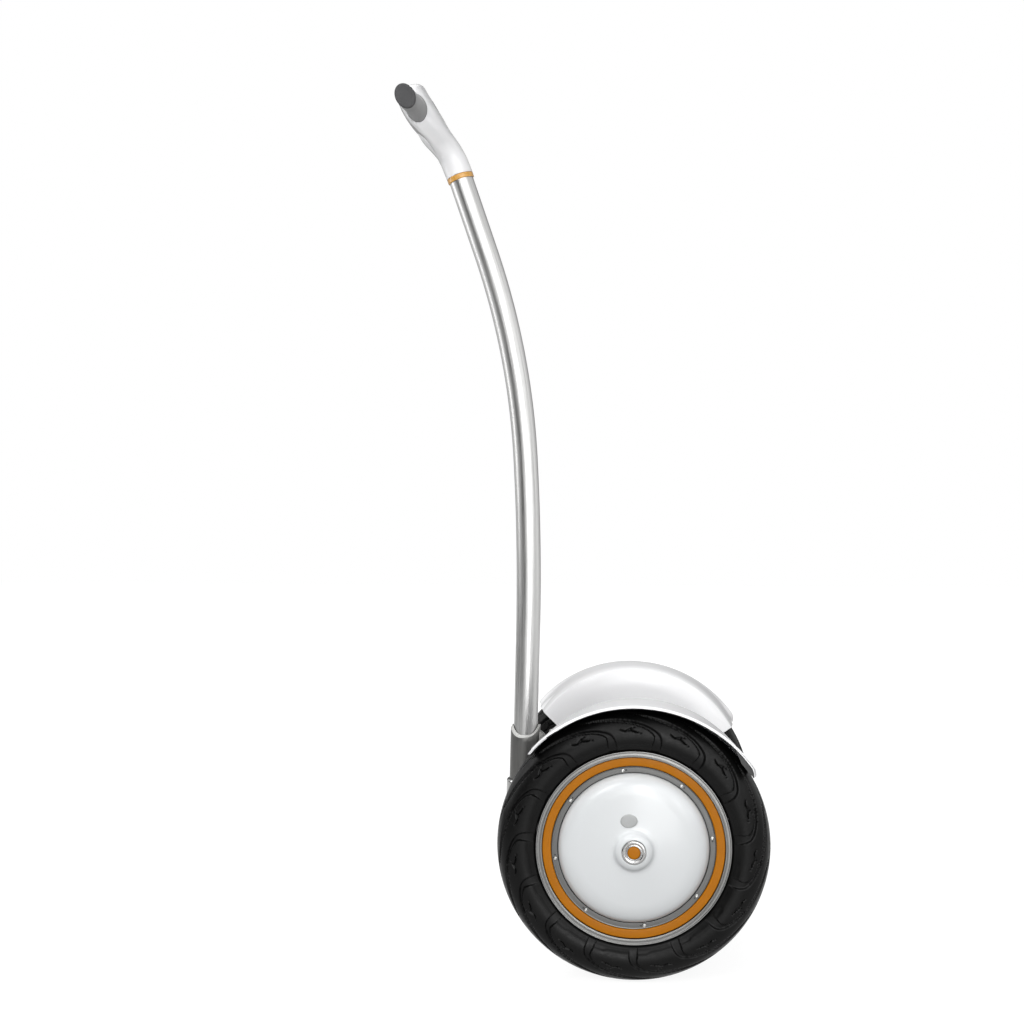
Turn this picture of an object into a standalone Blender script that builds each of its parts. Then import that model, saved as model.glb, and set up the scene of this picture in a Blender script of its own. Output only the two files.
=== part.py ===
"""Self-balancing scooter: two motor wheels, a deck between them and a curved lean-steer stem.

Metres, +Z up. The scooter faces -X, the rider's left is -Y, and it stands on Z = 0.
Pieces are written in scooter coordinates: X = 0 is the line of the wheel axles, whose height
there is AXLE_Z. The root empty lifts all of them so that the tyres rest on Z = 0.
"""
import math

import bmesh
import bpy
from mathutils import Matrix, Vector

# Where the axle line lies in the part's own frame, so that the box is centred on the origin
AXLE_X = 0.0820

# Wheels
WHEEL_R = 0.2015
AXLE_Z = 0.2000
FLOOR_Z = AXLE_Z - WHEEL_R
HALF_TRACK = 0.200
WHEEL_STEPS = 32
SHAFT_STEPS = 20
AXLE_R = 0.012
AXLE_INNER_Y = 0.090
BEARING_R = 0.0200
BEARING_BORE_R = 0.01245
BEARING_WIDTH = 0.0100
SCREW_COUNT = 8
SCREW_START_DEG = -8.0
SCREW_CIRCLE_R = 0.1157
SCREW_HEAD_R = 0.0024

# Body between the wheels
BODY_FRONT = -0.132
BODY_REAR = 0.165
BODY_HALF_WIDTH = 0.1535
BODY_CORNER_R = 0.035
BODY_FLOOR_Z = 0.100
PARTING_Z = 0.200
DECK_Z = 0.228
DECK_UNDERSIDE_Z = 0.219
SHELL_WALL = 0.003

# Foot mats
MAT_FLOOR_Z = 0.2222
MAT_GAP_BELOW = 0.0023
MAT_THICKNESS = 0.010

# Fenders
# Front and rear ends as angles from the vertical, at the wall and at the outer lip
FENDER_WALL_DEG = (-46.5, 55.7)
FENDER_LIP_DEG = (-47.8, 57.9)
FENDER_LIP_R = 0.2128
# How much wider than a circle about the axle the lip swings in front and behind
FENDER_LIP_FLAT = (-0.0070, 0.0042)
# The lip curls in towards the tyre over its last stretch, as (drop, length)
FENDER_FRONT_CURL = (0.0012, 0.0200)
FENDER_REAR_CURL = (0.0062, 0.0155)
FENDER_CLEARANCE = 0.0050
FENDER_WALL_Y = 0.1540
FENDER_LIP_Y = 0.2470
FENDER_ARCH_R = 0.1862
FENDER_ARCH_X = 0.0048
FENDER_ARCH_Z = 0.2254
FENDER_FOOT_R = 0.155
FENDER_FOOT_Z = 0.160
FENDER_SKIN = 0.0025
FENDER_STEPS = 24

# Steering
PIVOT_Z = 0.196
PIVOT_X = -0.132
PIVOT_SHAFT_R = 0.011
SLEEVE_OUTER_R = 0.0235
SLEEVE_INNER_R = 0.0195
SLEEVE_BOTTOM_Z = 0.2200
SLEEVE_SIDE_Z = 0.3294
SLEEVE_PEAK = 0.0146
COLLAR_AT = 0.0300
COLLAR_R = 0.0280
COLLAR_BELOW = 0.0140
COLLAR_TOP_Z = 0.2575

# Stem: straight, a slow bend, a quicker bend, straight again
STEM_R = 0.0190
STEM_WALL = 0.0020
STEM_START = (-0.1711, 0.2050)
STEM_LEAN_DEG = -1.4
STEM_RUNS = ((0.284, 0.0), (0.278, 4.5), (0.327, 15.8), (0.1260, 0.0))
STEM_STEP = 0.045
RING_AT = 1.0115
RING_HEIGHT = 0.0080
RING_R = 0.0209
STEM_STEPS = 16

# Handle
GRIP_X = -0.3328
GRIP_Z = 1.3050
# The bar and the grips on it sweep forward and droop from the middle, per metre of reach
GRIP_SWEEP = 0.0147
GRIP_DROOP = 0.0370
GRIP_LEAN_DEG = 27.0
GRIP_HALF = (0.0190, 0.0146)
# Pockets in the head, with the wider root of each grip in them
POCKET_HALF = (0.0227, 0.0162)
POCKET_LEAN_DEG = 18.0
POCKET_GAP = 0.0006
POCKET_END_Y = 0.0800
GRIP_ROOT_Y = 0.0440
GRIP_FLARE_Y = (0.0590, 0.0820)
GRIP_END_Y = 0.1925
GRIP_CAP_Y = 0.2000
BAR_REACH_Y = 0.1880
BAR_R = 0.0110
BAR_WALL = 0.0020
BAR_BORE_R = 0.0114

# Head of the handle
NECK_R = 0.0210
SPIGOT_R = 0.0164
SPIGOT_LENGTH = 0.0350
HEAD_POINTS = 24
HEAD_SECTIONS = (
    # front point, rear point, half width, squareness of the front half and of the rear half
    ((-0.3040, 1.2290), (-0.2640, 1.2420), 0.0235, 2.1, 2.1),
    ((-0.3145, 1.2420), (-0.2722, 1.2560), 0.0310, 2.6, 2.1),
    ((-0.3270, 1.2555), (-0.2815, 1.2690), 0.0430, 3.2, 2.1),
    ((-0.3385, 1.2700), (-0.2895, 1.2810), 0.0535, 3.6, 2.1),
    ((-0.3480, 1.2835), (-0.2975, 1.2955), 0.0595, 3.8, 2.1),
    ((-0.3570, 1.2985), (-0.3070, 1.3110), 0.0615, 3.8, 2.1),
    ((-0.3635, 1.3120), (-0.3160, 1.3255), 0.0610, 3.8, 2.2),
    ((-0.3655, 1.3240), (-0.3220, 1.3350), 0.0600, 3.6, 2.4),
    ((-0.3615, 1.3350), (-0.3248, 1.3400), 0.0540, 3.4, 3.0),
    ((-0.3540, 1.3402), (-0.3290, 1.3432), 0.0380, 3.2, 3.2),
)

# Parking stand
STAND_X = -0.085
STAND_Z = 0.086
STAND_FOOT_X = -0.118

# Rear panel
REAR_PANEL_Z = 0.165
BUTTON_Y = 0.100
CHARGE_Y = -0.100

GAP = 0.0003


def clear_scene():
    for old in list(bpy.data.objects):
        bpy.data.objects.remove(old, do_unlink=True)


# Materials


def finish(name, colour, roughness, metallic=0.0):
    material = bpy.data.materials.new(name)
    material.use_nodes = True
    shader = material.node_tree.nodes["Principled BSDF"]
    shader.inputs["Base Color"].default_value = (*colour, 1.0)
    shader.inputs["Roughness"].default_value = roughness
    shader.inputs["Metallic"].default_value = metallic
    return material


def make_materials():
    return {
        "white": finish("white_gloss_plastic", (0.86, 0.86, 0.87), 0.18),
        "tyre": finish("tyre_rubber", (0.016, 0.016, 0.017), 0.75),
        "aluminium": finish("brushed_aluminium", (0.48, 0.48, 0.47), 0.38, 1.0),
        "orange": finish("orange_gloss", (0.66, 0.22, 0.006), 0.28),
        "chrome": finish("bright_chrome", (0.70, 0.70, 0.70), 0.12, 1.0),
        "grip": finish("grey_grip_rubber", (0.12, 0.12, 0.12), 0.70),
        "mat": finish("black_mat_rubber", (0.03, 0.03, 0.03), 0.85),
        "badge": finish("grey_badge", (0.42, 0.43, 0.43), 0.40, 0.6),
        "steel": finish("zinc_steel", (0.46, 0.46, 0.47), 0.35, 1.0),
        "iron": finish("motor_iron", (0.18, 0.12, 0.08), 0.60, 0.8),
        "black": finish("black_plastic", (0.025, 0.025, 0.027), 0.50),
        "red_lens": finish("red_lens", (0.45, 0.01, 0.01), 0.12),
        "dark_lens": finish("dark_lens", (0.01, 0.01, 0.012), 0.08),
        "bronze": finish("bush_bronze", (0.45, 0.30, 0.12), 0.40, 1.0),
        "battery": finish("battery_wrap", (0.05, 0.10, 0.20), 0.55),
    }


# Frame of empties: each moving group hangs on an empty that lies on its joint's axis


def empty(name, location, parent=None):
    node = bpy.data.objects.new(name, None)
    node.empty_display_size = 0.03
    bpy.context.collection.objects.link(node)
    node.parent = parent
    node.location = location
    return node


def build_object(name, bm, material, group, smooth_deg=35.0):
    """Turn a mesh in scooter coordinates into an object that hangs on its group's empty."""
    bmesh.ops.remove_doubles(bm, verts=bm.verts[:], dist=1e-5)
    bmesh.ops.recalc_face_normals(bm, faces=bm.faces[:])
    origin = Vector(group["origin"])
    bmesh.ops.translate(bm, verts=bm.verts[:], vec=-origin)
    mesh = bpy.data.meshes.new(name)
    bm.to_mesh(mesh)
    bm.free()
    mesh.materials.append(material)
    mesh.shade_smooth()
    mesh.set_sharp_from_angle(angle=math.radians(smooth_deg))
    piece = bpy.data.objects.new(name, mesh)
    bpy.context.collection.objects.link(piece)
    piece.parent = group["empty"]
    return piece


def combine(piece, name, bm, group, operation):
    """Join the shape bm to piece, or take it away, with a Boolean modifier."""
    helper = build_object(name, bm, piece.data.materials[0], group)
    helper.hide_render = True
    helper.display_type = "WIRE"
    modifier = piece.modifiers.new(name, "BOOLEAN")
    modifier.operation = operation
    modifier.solver = "EXACT"
    modifier.object = helper


def cut(piece, name, bm, group):
    combine(piece, name, bm, group, "DIFFERENCE")


def join(piece, name, bm, group):
    combine(piece, name, bm, group, "UNION")


# Shape helpers


def turned(bm, profile, centre, axis, across, steps, closed=True):
    """Spin a profile of (radius, distance along the axis) once round the axis."""
    centre = Vector(centre)
    axis = Vector(axis)
    across = Vector(across)
    verts = [bm.verts.new(centre + across * r + axis * d) for r, d in profile]
    edges = [bm.edges.new((a, b)) for a, b in zip(verts, verts[1:])]
    if closed:
        edges.append(bm.edges.new((verts[-1], verts[0])))
    bmesh.ops.spin(bm, geom=verts + edges, cent=centre, axis=axis, dvec=(0, 0, 0),
                   angle=math.tau, steps=steps, use_merge=False, use_duplicate=False)


def turned_object(name, profile, centre, axis, across, steps, material, group, closed=True):
    bm = bmesh.new()
    turned(bm, profile, centre, axis, across, steps, closed)
    return build_object(name, bm, material, group)


def disc(radius, low, high, edge=0.0):
    """Profile of a solid round piece, with an edge chamfer on its high end."""
    if edge:
        return ((0, low), (radius, low), (radius, high - edge), (radius - edge, high), (0, high))
    return ((0, low), (radius, low), (radius, high), (0, high))


def ring(outer, inner, low, high):
    return ((outer, low), (outer, high), (inner, high), (inner, low))


def skin(bm, rings, cyclic=False):
    """Bridge rings of equal point counts; cap the ends unless the rings close on themselves."""
    rows = [[bm.verts.new(point) for point in points] for points in rings]
    pairs = list(zip(rows, rows[1:]))
    if cyclic:
        pairs.append((rows[-1], rows[0]))
    count = len(rows[0])
    for low, high in pairs:
        for i in range(count):
            j = (i + 1) % count
            bm.faces.new((low[i], low[j], high[j], high[i]))
    if not cyclic:
        bm.faces.new(rows[0])
        bm.faces.new(rows[-1])


def block(bm, low, high, bevel=0.0, segments=1):
    """Box between two corners, its edges bevelled."""
    low = Vector(low)
    high = Vector(high)
    size = high - low
    place = Matrix.Translation((low + high) / 2) @ Matrix.Diagonal((*size, 1.0))
    made = bmesh.ops.create_cube(bm, size=1.0, matrix=place)
    if bevel:
        edges = list({edge for vert in made["verts"] for edge in vert.link_edges})
        bmesh.ops.bevel(bm, geom=edges, offset=bevel, segments=segments, profile=0.5,
                        affect="EDGES", clamp_overlap=True)


def block_object(name, low, high, material, group, bevel=0.0, segments=1):
    bm = bmesh.new()
    block(bm, low, high, bevel, segments)
    return build_object(name, bm, material, group)


def prism(bm, outline, offset):
    """Extrude a flat outline of 3-D points by an offset vector."""
    face = bm.faces.new([bm.verts.new(point) for point in outline])
    made = bmesh.ops.extrude_face_region(bm, geom=[face])
    verts = [item for item in made["geom"] if isinstance(item, bmesh.types.BMVert)]
    bmesh.ops.translate(bm, verts=verts, vec=offset)


def rounded_rectangle(x_low, x_high, half_width, corner, z, corner_steps=4):
    """Plan outline at height z with round corners, counter-clockwise from the rear right."""
    centres = ((x_high - corner, half_width - corner, 0), (x_low + corner, half_width - corner, 90),
               (x_low + corner, corner - half_width, 180), (x_high - corner, corner - half_width, 270))
    points = []
    for cx, cy, start in centres:
        for step in range(corner_steps + 1):
            angle = math.radians(start + 90.0 * step / corner_steps)
            points.append((cx + corner * math.cos(angle), cy + corner * math.sin(angle), z))
    return points


def superellipse(front, rear, half_width, front_power, rear_power, count):
    """Section between a front and a rear point of the middle plane, half_width to each side."""
    front = Vector((front[0], 0, front[1]))
    rear = Vector((rear[0], 0, rear[1]))
    centre = (front + rear) / 2
    depth = (front - rear) / 2
    points = []
    for i in range(count):
        angle = math.tau * i / count
        c = math.cos(angle)
        s = math.sin(angle)
        power = front_power if c > 0 else rear_power
        along = math.copysign(abs(c) ** (2 / power), c)
        side = math.copysign(abs(s) ** (2 / power), s)
        points.append(centre + depth * along + Vector((0, half_width * side, 0)))
    return points


def oval(y, half_long, half_short, count, lean_deg=GRIP_LEAN_DEG):
    """Oval section of a grip in the plane at y, its long axis leaning forward."""
    lean = math.radians(lean_deg)
    long_axis = Vector((-math.sin(lean), 0, math.cos(lean)))
    short_axis = Vector((math.cos(lean), 0, math.sin(lean)))
    centre = Vector((GRIP_X - GRIP_SWEEP * abs(y), y, GRIP_Z - GRIP_DROOP * abs(y)))
    points = []
    for i in range(count):
        angle = math.tau * i / count
        points.append(centre + long_axis * half_long * math.cos(angle)
                      + short_axis * half_short * math.sin(angle))
    return points


# Wheels


def wheel_profiles():
    """Sections of one wheel as (radius, distance outboard of the tyre's middle plane)."""
    mm = 0.001
    flat = 1 / math.cos(math.pi / WHEEL_STEPS)
    tyre_outer = [(144.5, 28), (160, 36.5), (176, 38), (191.5, 29.5), (WHEEL_R / mm * flat, 9.5)]
    tyre_inner = [(144.5, 23.5), (185, 27)]
    tyre = tyre_outer + [(r, -d) for r, d in reversed(tyre_outer)]
    tyre += [(r, -d) for r, d in tyre_inner] + list(reversed(tyre_inner))
    rim = [(143.9, -29.5), (143.9, 30.0), (134.2, 25.2), (134.2, 21.0), (20.3, 21.0), (20.3, 6.0),
           (26.0, 6.0), (26.0, 16.0), (125.0, 16.0), (125.0, -23.7), (131.0, -23.7), (131.0, -29.5)]
    cover = [(110.6, 21.3), (110.6, 26.0), (106.0, 34.0), (97.0, 39.6), (85.0, 43.0), (28.2, 44.6),
             (21.5, 54.0), (17.4, 55.5), (17.4, 48.0), (26.0, 41.6), (84.0, 40.0), (102.5, 32.0),
             (107.4, 21.3)]
    back_cover = [(130.6, -24.0), (130.6, -28.5), (60.0, -30.5), (20.4, -31.0), (20.4, -20.5),
                  (26.0, -20.5), (28.0, -25.5)]
    hub_ring = [(17.1, 48.3), (17.1, 56.6), (16.2, 57.4), (12.6, 57.4), (9.6, 56.9), (9.6, 48.3)]
    stator = [(118.0, -17.0), (118.0, 3.0), (95.0, 3.0), (95.0, -3.0), (12.5, -3.0),
              (12.5, -11.0), (95.0, -11.0), (95.0, -17.0)]
    profiles = {
        "tyre": tyre,
        "rim": rim,
        "trim_ring": ring(133.8, 121.0, 22.3, 25.8),
        "clamp_ring": ring(120.6, 111.2, 21.3, 25.2),
        "wheel_cover": cover,
        "motor_back_cover": back_cover,
        "hub_ring": hub_ring,
        "motor_stator": stator,
        "axle_cap": disc(9.3, 50.0, 58.4, 0.8),
    }
    return {name: [(r * mm, d * mm) for r, d in profile] for name, profile in profiles.items()}


def make_wheel(side, sign, group, chassis, m):
    """One motor wheel. sign is -1 for the rider's left and +1 for the right."""
    centre = Vector((0, sign * HALF_TRACK, AXLE_Z))
    axis = Vector((0, sign, 0))
    # Half a step off the vertical, so that the tyre rests on a flat and not on a corner
    up = Matrix.Rotation(math.pi / WHEEL_STEPS, 3, "Y") @ Vector((0, 0, 1))
    profiles = wheel_profiles()

    def turn(name, material, steps=WHEEL_STEPS, closed=True, group=group):
        profile = profiles[name]
        turned_object(f"{side}_{name}", profile, centre, axis, up, steps, m[material], group, closed)

    turn("tyre", "tyre")
    turn("rim", "aluminium")
    turn("trim_ring", "orange")
    turn("wheel_cover", "white")
    turn("motor_back_cover", "aluminium")
    turn("hub_ring", "chrome", SHAFT_STEPS)
    turn("axle_cap", "orange", SHAFT_STEPS, closed=False)
    turn("motor_stator", "iron", SHAFT_STEPS, group=chassis)

    for name, low in (("outer_bearing", 0.0070), ("inner_bearing", -0.0300)):
        profile = ring(BEARING_R, BEARING_BORE_R, low, low + BEARING_WIDTH)
        turned_object(f"{side}_{name}", profile, centre, axis, up, SHAFT_STEPS, m["steel"], group)

    # Ring that clamps the cover, with its screws' heads standing on it
    clamp = turned_object(f"{side}_cover_clamp_ring", profiles["clamp_ring"], centre, axis, up,
                          WHEEL_STEPS, m["aluminium"], group)
    for i in range(SCREW_COUNT):
        angle = math.radians(360.0 / SCREW_COUNT * i + SCREW_START_DEG)
        place = centre + Vector((math.sin(angle), 0, math.cos(angle))) * SCREW_CIRCLE_R
        screw = bmesh.new()
        turned(screw, disc(SCREW_HEAD_R, 0.0230, 0.0276, 0.0006), place, axis, up, 6, closed=False)
        join(clamp, f"join_{side}_screw_{i}", screw, group)

    badge = bmesh.new()
    badge_centre = centre + Vector((-0.0072, sign * 0.0450, 0.0441))
    outline = []
    for i in range(SHAFT_STEPS):
        angle = math.tau * i / SHAFT_STEPS
        outline.append(badge_centre + Vector((0.0124 * math.cos(angle), 0, 0.0098 * math.sin(angle))))
    prism(badge, outline, axis * 0.0012)
    build_object(f"{side}_badge", badge, m["badge"], group)

    inner = HALF_TRACK - AXLE_INNER_Y
    axle = disc(AXLE_R, -inner, 0.0225, 0.0010)
    turned_object(f"{side}_axle", axle, centre, axis, up, SHAFT_STEPS, m["steel"], chassis,
                  closed=False)


# Body between the wheels


def body_section(z, inset):
    corner = BODY_CORNER_R - inset * 0.5
    return rounded_rectangle(BODY_FRONT + inset, BODY_REAR - inset, BODY_HALF_WIDTH - inset, corner, z)


def body_shells(chassis, m):
    lower_levels = ((BODY_FLOOR_Z, 0.030), (0.110, 0.010), (0.126, 0.0), (PARTING_Z - GAP, 0.0))
    bm = bmesh.new()
    outer = [body_section(z, inset) for z, inset in lower_levels]
    inner = [body_section(z, inset + SHELL_WALL) for z, inset in reversed(lower_levels[1:])]
    inner.append(body_section(BODY_FLOOR_Z + SHELL_WALL, 0.034))
    skin(bm, outer + inner)
    lower = build_object("lower_shell", bm, m["white"], chassis)

    bm = bmesh.new()
    outer = [body_section(PARTING_Z, 0.0), body_section(DECK_Z - 0.005, 0.0), body_section(DECK_Z, 0.005)]
    inner = [body_section(DECK_UNDERSIDE_Z, SHELL_WALL), body_section(PARTING_Z, SHELL_WALL)]
    skin(bm, inner + outer)
    upper = build_object("upper_shell", bm, m["white"], chassis)

    # Round holes at the parting line for the axles and the steering shaft
    for shell, tag in ((lower, "lower"), (upper, "upper")):
        for sign in (-1, 1):
            bm = bmesh.new()
            hole = disc(AXLE_R + 0.002, -0.02, 0.02)
            turned(bm, hole, (0, sign * BODY_HALF_WIDTH, AXLE_Z), (0, 1, 0), (0, 0, 1), SHAFT_STEPS, False)
            cut(shell, f"cut_{tag}_axle_{'left' if sign < 0 else 'right'}", bm, chassis)
        bm = bmesh.new()
        hole = disc(PIVOT_SHAFT_R + 0.002, -0.02, 0.02)
        turned(bm, hole, (BODY_FRONT, 0, PIVOT_Z), (1, 0, 0), (0, 0, 1), SHAFT_STEPS, False)
        cut(shell, f"cut_{tag}_pivot", bm, chassis)

    # Openings of the rear panel
    bm = bmesh.new()
    block(bm, (BODY_REAR - 0.01, -0.0455, REAR_PANEL_Z - 0.0075),
          (BODY_REAR + 0.01, 0.0455, REAR_PANEL_Z + 0.0075))
    cut(lower, "cut_rear_light", bm, chassis)
    bm = bmesh.new()
    block(bm, (BODY_REAR - 0.01, CHARGE_Y - 0.0118, REAR_PANEL_Z - 0.0098),
          (BODY_REAR + 0.01, CHARGE_Y + 0.0118, REAR_PANEL_Z + 0.0098))
    cut(lower, "cut_charge_socket", bm, chassis)
    bm = bmesh.new()
    turned(bm, disc(0.0087, -0.01, 0.01), (BODY_REAR, BUTTON_Y, REAR_PANEL_Z), (1, 0, 0), (0, 0, 1),
           SHAFT_STEPS, False)
    cut(lower, "cut_power_button", bm, chassis)
    return upper


def mat_outline(sign, z, grow=0.0):
    """L-shaped plan of one foot mat, notched round the front console."""
    corners = ((0.150, 0.012), (0.150, 0.143), (-0.112, 0.143),
               (-0.112, 0.052), (-0.052, 0.052), (-0.052, 0.012))
    outward = ((1, -1), (1, 1), (-1, 1), (-1, -1), (-1, -1), (-1, -1))
    return [Vector((x + grow * gx, sign * (y + grow * gy), z))
            for (x, y), (gx, gy) in zip(corners, outward)]


def foot_mats(upper, chassis, groups, m):
    for side, sign in (("left", -1), ("right", 1)):
        bm = bmesh.new()
        prism(bm, mat_outline(sign, MAT_FLOOR_Z, 0.0012), Vector((0, 0, 0.02)))
        cut(upper, f"cut_{side}_mat", bm, chassis)
        bm = bmesh.new()
        base = MAT_FLOOR_Z + MAT_GAP_BELOW
        prism(bm, mat_outline(sign, base), Vector((0, 0, MAT_THICKNESS)))
        mat = build_object(f"{side}_foot_mat", bm, m["mat"], groups[f"{side}_foot_mat"])
        bevel = mat.modifiers.new("soft_edges", "BEVEL")
        bevel.width = 0.0015
        bevel.segments = 1


def front_console(chassis, m):
    """White tower behind the stem, which covers the steering pivot."""
    def section(z, front, rear, half_width, corner):
        return rounded_rectangle(front, rear, half_width, corner, z, corner_steps=3)

    outer = [section(DECK_Z + GAP, -0.1260, -0.0560, 0.046, 0.012),
             section(0.2600, -0.1280, -0.0620, 0.044, 0.012),
             section(0.3120, -0.1310, -0.0760, 0.038, 0.011),
             section(0.3240, -0.1312, -0.0800, 0.036, 0.009),
             section(0.3285, -0.1280, -0.0850, 0.032, 0.006)]
    inner = [section(0.3255, -0.1265, -0.0860, 0.031, 0.005),
             section(0.3080, -0.1280, -0.0790, 0.035, 0.008),
             section(0.2600, -0.1250, -0.0650, 0.041, 0.009),
             section(DECK_Z + GAP, -0.1230, -0.0590, 0.043, 0.009)]
    bm = bmesh.new()
    skin(bm, inner + outer)
    build_object("front_console", bm, m["white"], chassis)


def frame_beam(chassis, m):
    """Cross beam in plan: a slim middle and a clamp block for the axle at each end."""
    half = ((0.020, 0.080), (0.030, 0.086), (0.030, 0.130))
    right = list(half) + [(-x, y) for x, y in reversed(half)]
    left = [(-x, -y) for x, y in right]
    bm = bmesh.new()
    prism(bm, [Vector((x, y, 0.1820)) for x, y in right + left], Vector((0, 0, 0.0350)))
    beam = build_object("frame_beam", bm, m["aluminium"], chassis)
    for side, sign in (("left", -1), ("right", 1)):
        bm = bmesh.new()
        bore = disc(AXLE_R + 0.0004, AXLE_INNER_Y - GAP, 0.140)
        turned(bm, bore, (0, 0, AXLE_Z), (0, sign, 0), (0, 0, 1), SHAFT_STEPS, False)
        cut(beam, f"cut_beam_{side}", bm, chassis)


def body_inside(chassis, m):
    frame_beam(chassis, m)
    block_object("battery_pack", (-0.092, -0.112, 0.1060), (0.095, 0.112, 0.1690),
                 m["battery"], chassis, 0.004)
    block_object("controller_board", (0.045, -0.070, 0.1750), (0.140, 0.070, 0.1980),
                 m["black"], chassis, 0.002)
    housing = block_object("pivot_housing", (-0.1180, -0.028, 0.1770), (-0.0203, 0.028, 0.2150),
                           m["aluminium"], chassis, 0.003)
    bm = bmesh.new()
    turned(bm, disc(0.0150, -0.13, -0.03), (0, 0, PIVOT_Z), (1, 0, 0), (0, 0, 1), SHAFT_STEPS, False)
    cut(housing, "cut_pivot_housing", bm, chassis)
    turned_object("pivot_bush", ring(0.0147, 0.0115, -0.1170, -0.0330), (0, 0, PIVOT_Z), (1, 0, 0),
                  (0, 0, 1), SHAFT_STEPS, m["bronze"], chassis)


def rear_panel(chassis, groups, m):
    block_object("rear_light", (BODY_REAR - 0.0020, -0.0450, REAR_PANEL_Z - 0.0070),
                 (BODY_REAR + 0.0015, 0.0450, REAR_PANEL_Z + 0.0070), m["red_lens"], chassis, 0.001)
    socket = block_object("charge_socket", (BODY_REAR - 0.0160, CHARGE_Y - 0.0115, REAR_PANEL_Z - 0.0095),
                          (BODY_REAR + 0.0005, CHARGE_Y + 0.0115, REAR_PANEL_Z + 0.0095),
                          m["black"], chassis)
    bm = bmesh.new()
    block(bm, (BODY_REAR - 0.0120, CHARGE_Y - 0.0080, REAR_PANEL_Z - 0.0060),
          (BODY_REAR + 0.0100, CHARGE_Y + 0.0080, REAR_PANEL_Z + 0.0060))
    cut(socket, "cut_socket_mouth", bm, chassis)
    block_object("charge_cap", (BODY_REAR + 0.0010, CHARGE_Y - 0.0140, REAR_PANEL_Z - 0.0120),
                 (BODY_REAR + 0.0035, CHARGE_Y + 0.0140, REAR_PANEL_Z + 0.0130), m["black"],
                 groups["charge_cap"], 0.0008)
    turned_object("power_button", disc(0.0080, -0.0015, 0.0025, 0.0008),
                  (BODY_REAR, BUTTON_Y, REAR_PANEL_Z), (1, 0, 0), (0, 0, 1), SHAFT_STEPS,
                  m["black"], groups["power_button"], closed=False)


# Fenders


def arch_radius(angle):
    """Distance from the axle to the edge circle of the fender's wall, at an angle from vertical."""
    dx = FENDER_ARCH_X
    dz = FENDER_ARCH_Z - AXLE_Z
    along = dx * math.sin(angle) + dz * math.cos(angle)
    return along + math.sqrt(along ** 2 - dx ** 2 - dz ** 2 + FENDER_ARCH_R ** 2)


def fender_angle(y, share):
    """Angle from the vertical at a share of the way from the front end to the rear end."""
    outward = (y - FENDER_WALL_Y) / (FENDER_LIP_Y - FENDER_WALL_Y)
    front, rear = (wall + (lip - wall) * outward for wall, lip in zip(FENDER_WALL_DEG, FENDER_LIP_DEG))
    return math.radians(front + (rear - front) * share)


def lip_radius(angle):
    """Distance from the axle to the lip's top."""
    front, rear = (math.radians(end) for end in FENDER_LIP_DEG)
    radius = FENDER_LIP_R + FENDER_LIP_FLAT[angle > 0] * (1 - math.cos(angle))
    for (drop, length), gap in ((FENDER_FRONT_CURL, angle - front), (FENDER_REAR_CURL, rear - angle)):
        radius -= drop * max(0.0, 1 - max(gap, 0.0) * FENDER_LIP_R / length) ** 2
    return radius


def clear_of_tyre(y):
    """Lowest radius that keeps the crown's skin clear of the tyre."""
    across = abs(y - HALF_TRACK)
    tread = [(0.0095, WHEEL_R), (0.0295, 0.1915), (0.0380, 0.1760)]
    if across > tread[-1][0]:
        return 0.0
    for (near, high), (far, low) in zip(tread, tread[1:]):
        if near < across <= far:
            return high + (low - high) * (across - near) / (far - near) + FENDER_CLEARANCE
    return WHEEL_R + FENDER_CLEARANCE


def fender_section(share, sign):
    """One section, from the outer lip over the crown and down the wall to its straight foot."""
    # distance outboard, share of the lip's height against the wall's, and height above both
    crown = ((FENDER_LIP_Y, 1.0, -0.0006), (FENDER_LIP_Y - 0.0015, 1.0, 0.0), (0.2385, 0.93, 0.0003),
             (0.2160, 0.62, 0.0010), (0.2095, 0.555, 0.0011), (0.1905, 0.376, 0.0012),
             (0.1820, 0.30, 0.0012), (0.1620, 0.0, 0.0), (0.1560, 0.0, -0.0028),
             (FENDER_WALL_Y, 0.0, -0.0095))
    points = []
    for y, outer, rise in crown:
        angle = fender_angle(y, share)
        # Inboard of the lip the crown sags towards both ends
        sag = min(1.0, max(0.0, (abs(angle) - math.radians(20)) / math.radians(30)))
        outer *= 1 - 0.5 * sag * min(1.0, 5 * (1 - outer))
        r = max(clear_of_tyre(y), lip_radius(angle) * outer + arch_radius(angle) * (1 - outer) + rise)
        points.append(Vector((r * math.sin(angle), sign * y, AXLE_Z + r * math.cos(angle))))
    angle = fender_angle(FENDER_WALL_Y, share)
    points.append(Vector((FENDER_FOOT_R * math.sin(angle), sign * FENDER_WALL_Y,
                          AXLE_Z + FENDER_FOOT_R * math.cos(angle))))
    front, rear = (FENDER_FOOT_R * math.sin(math.radians(degrees)) for degrees in FENDER_WALL_DEG)
    points.append(Vector((front + (rear - front) * share, sign * FENDER_WALL_Y, FENDER_FOOT_Z)))
    return points


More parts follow.
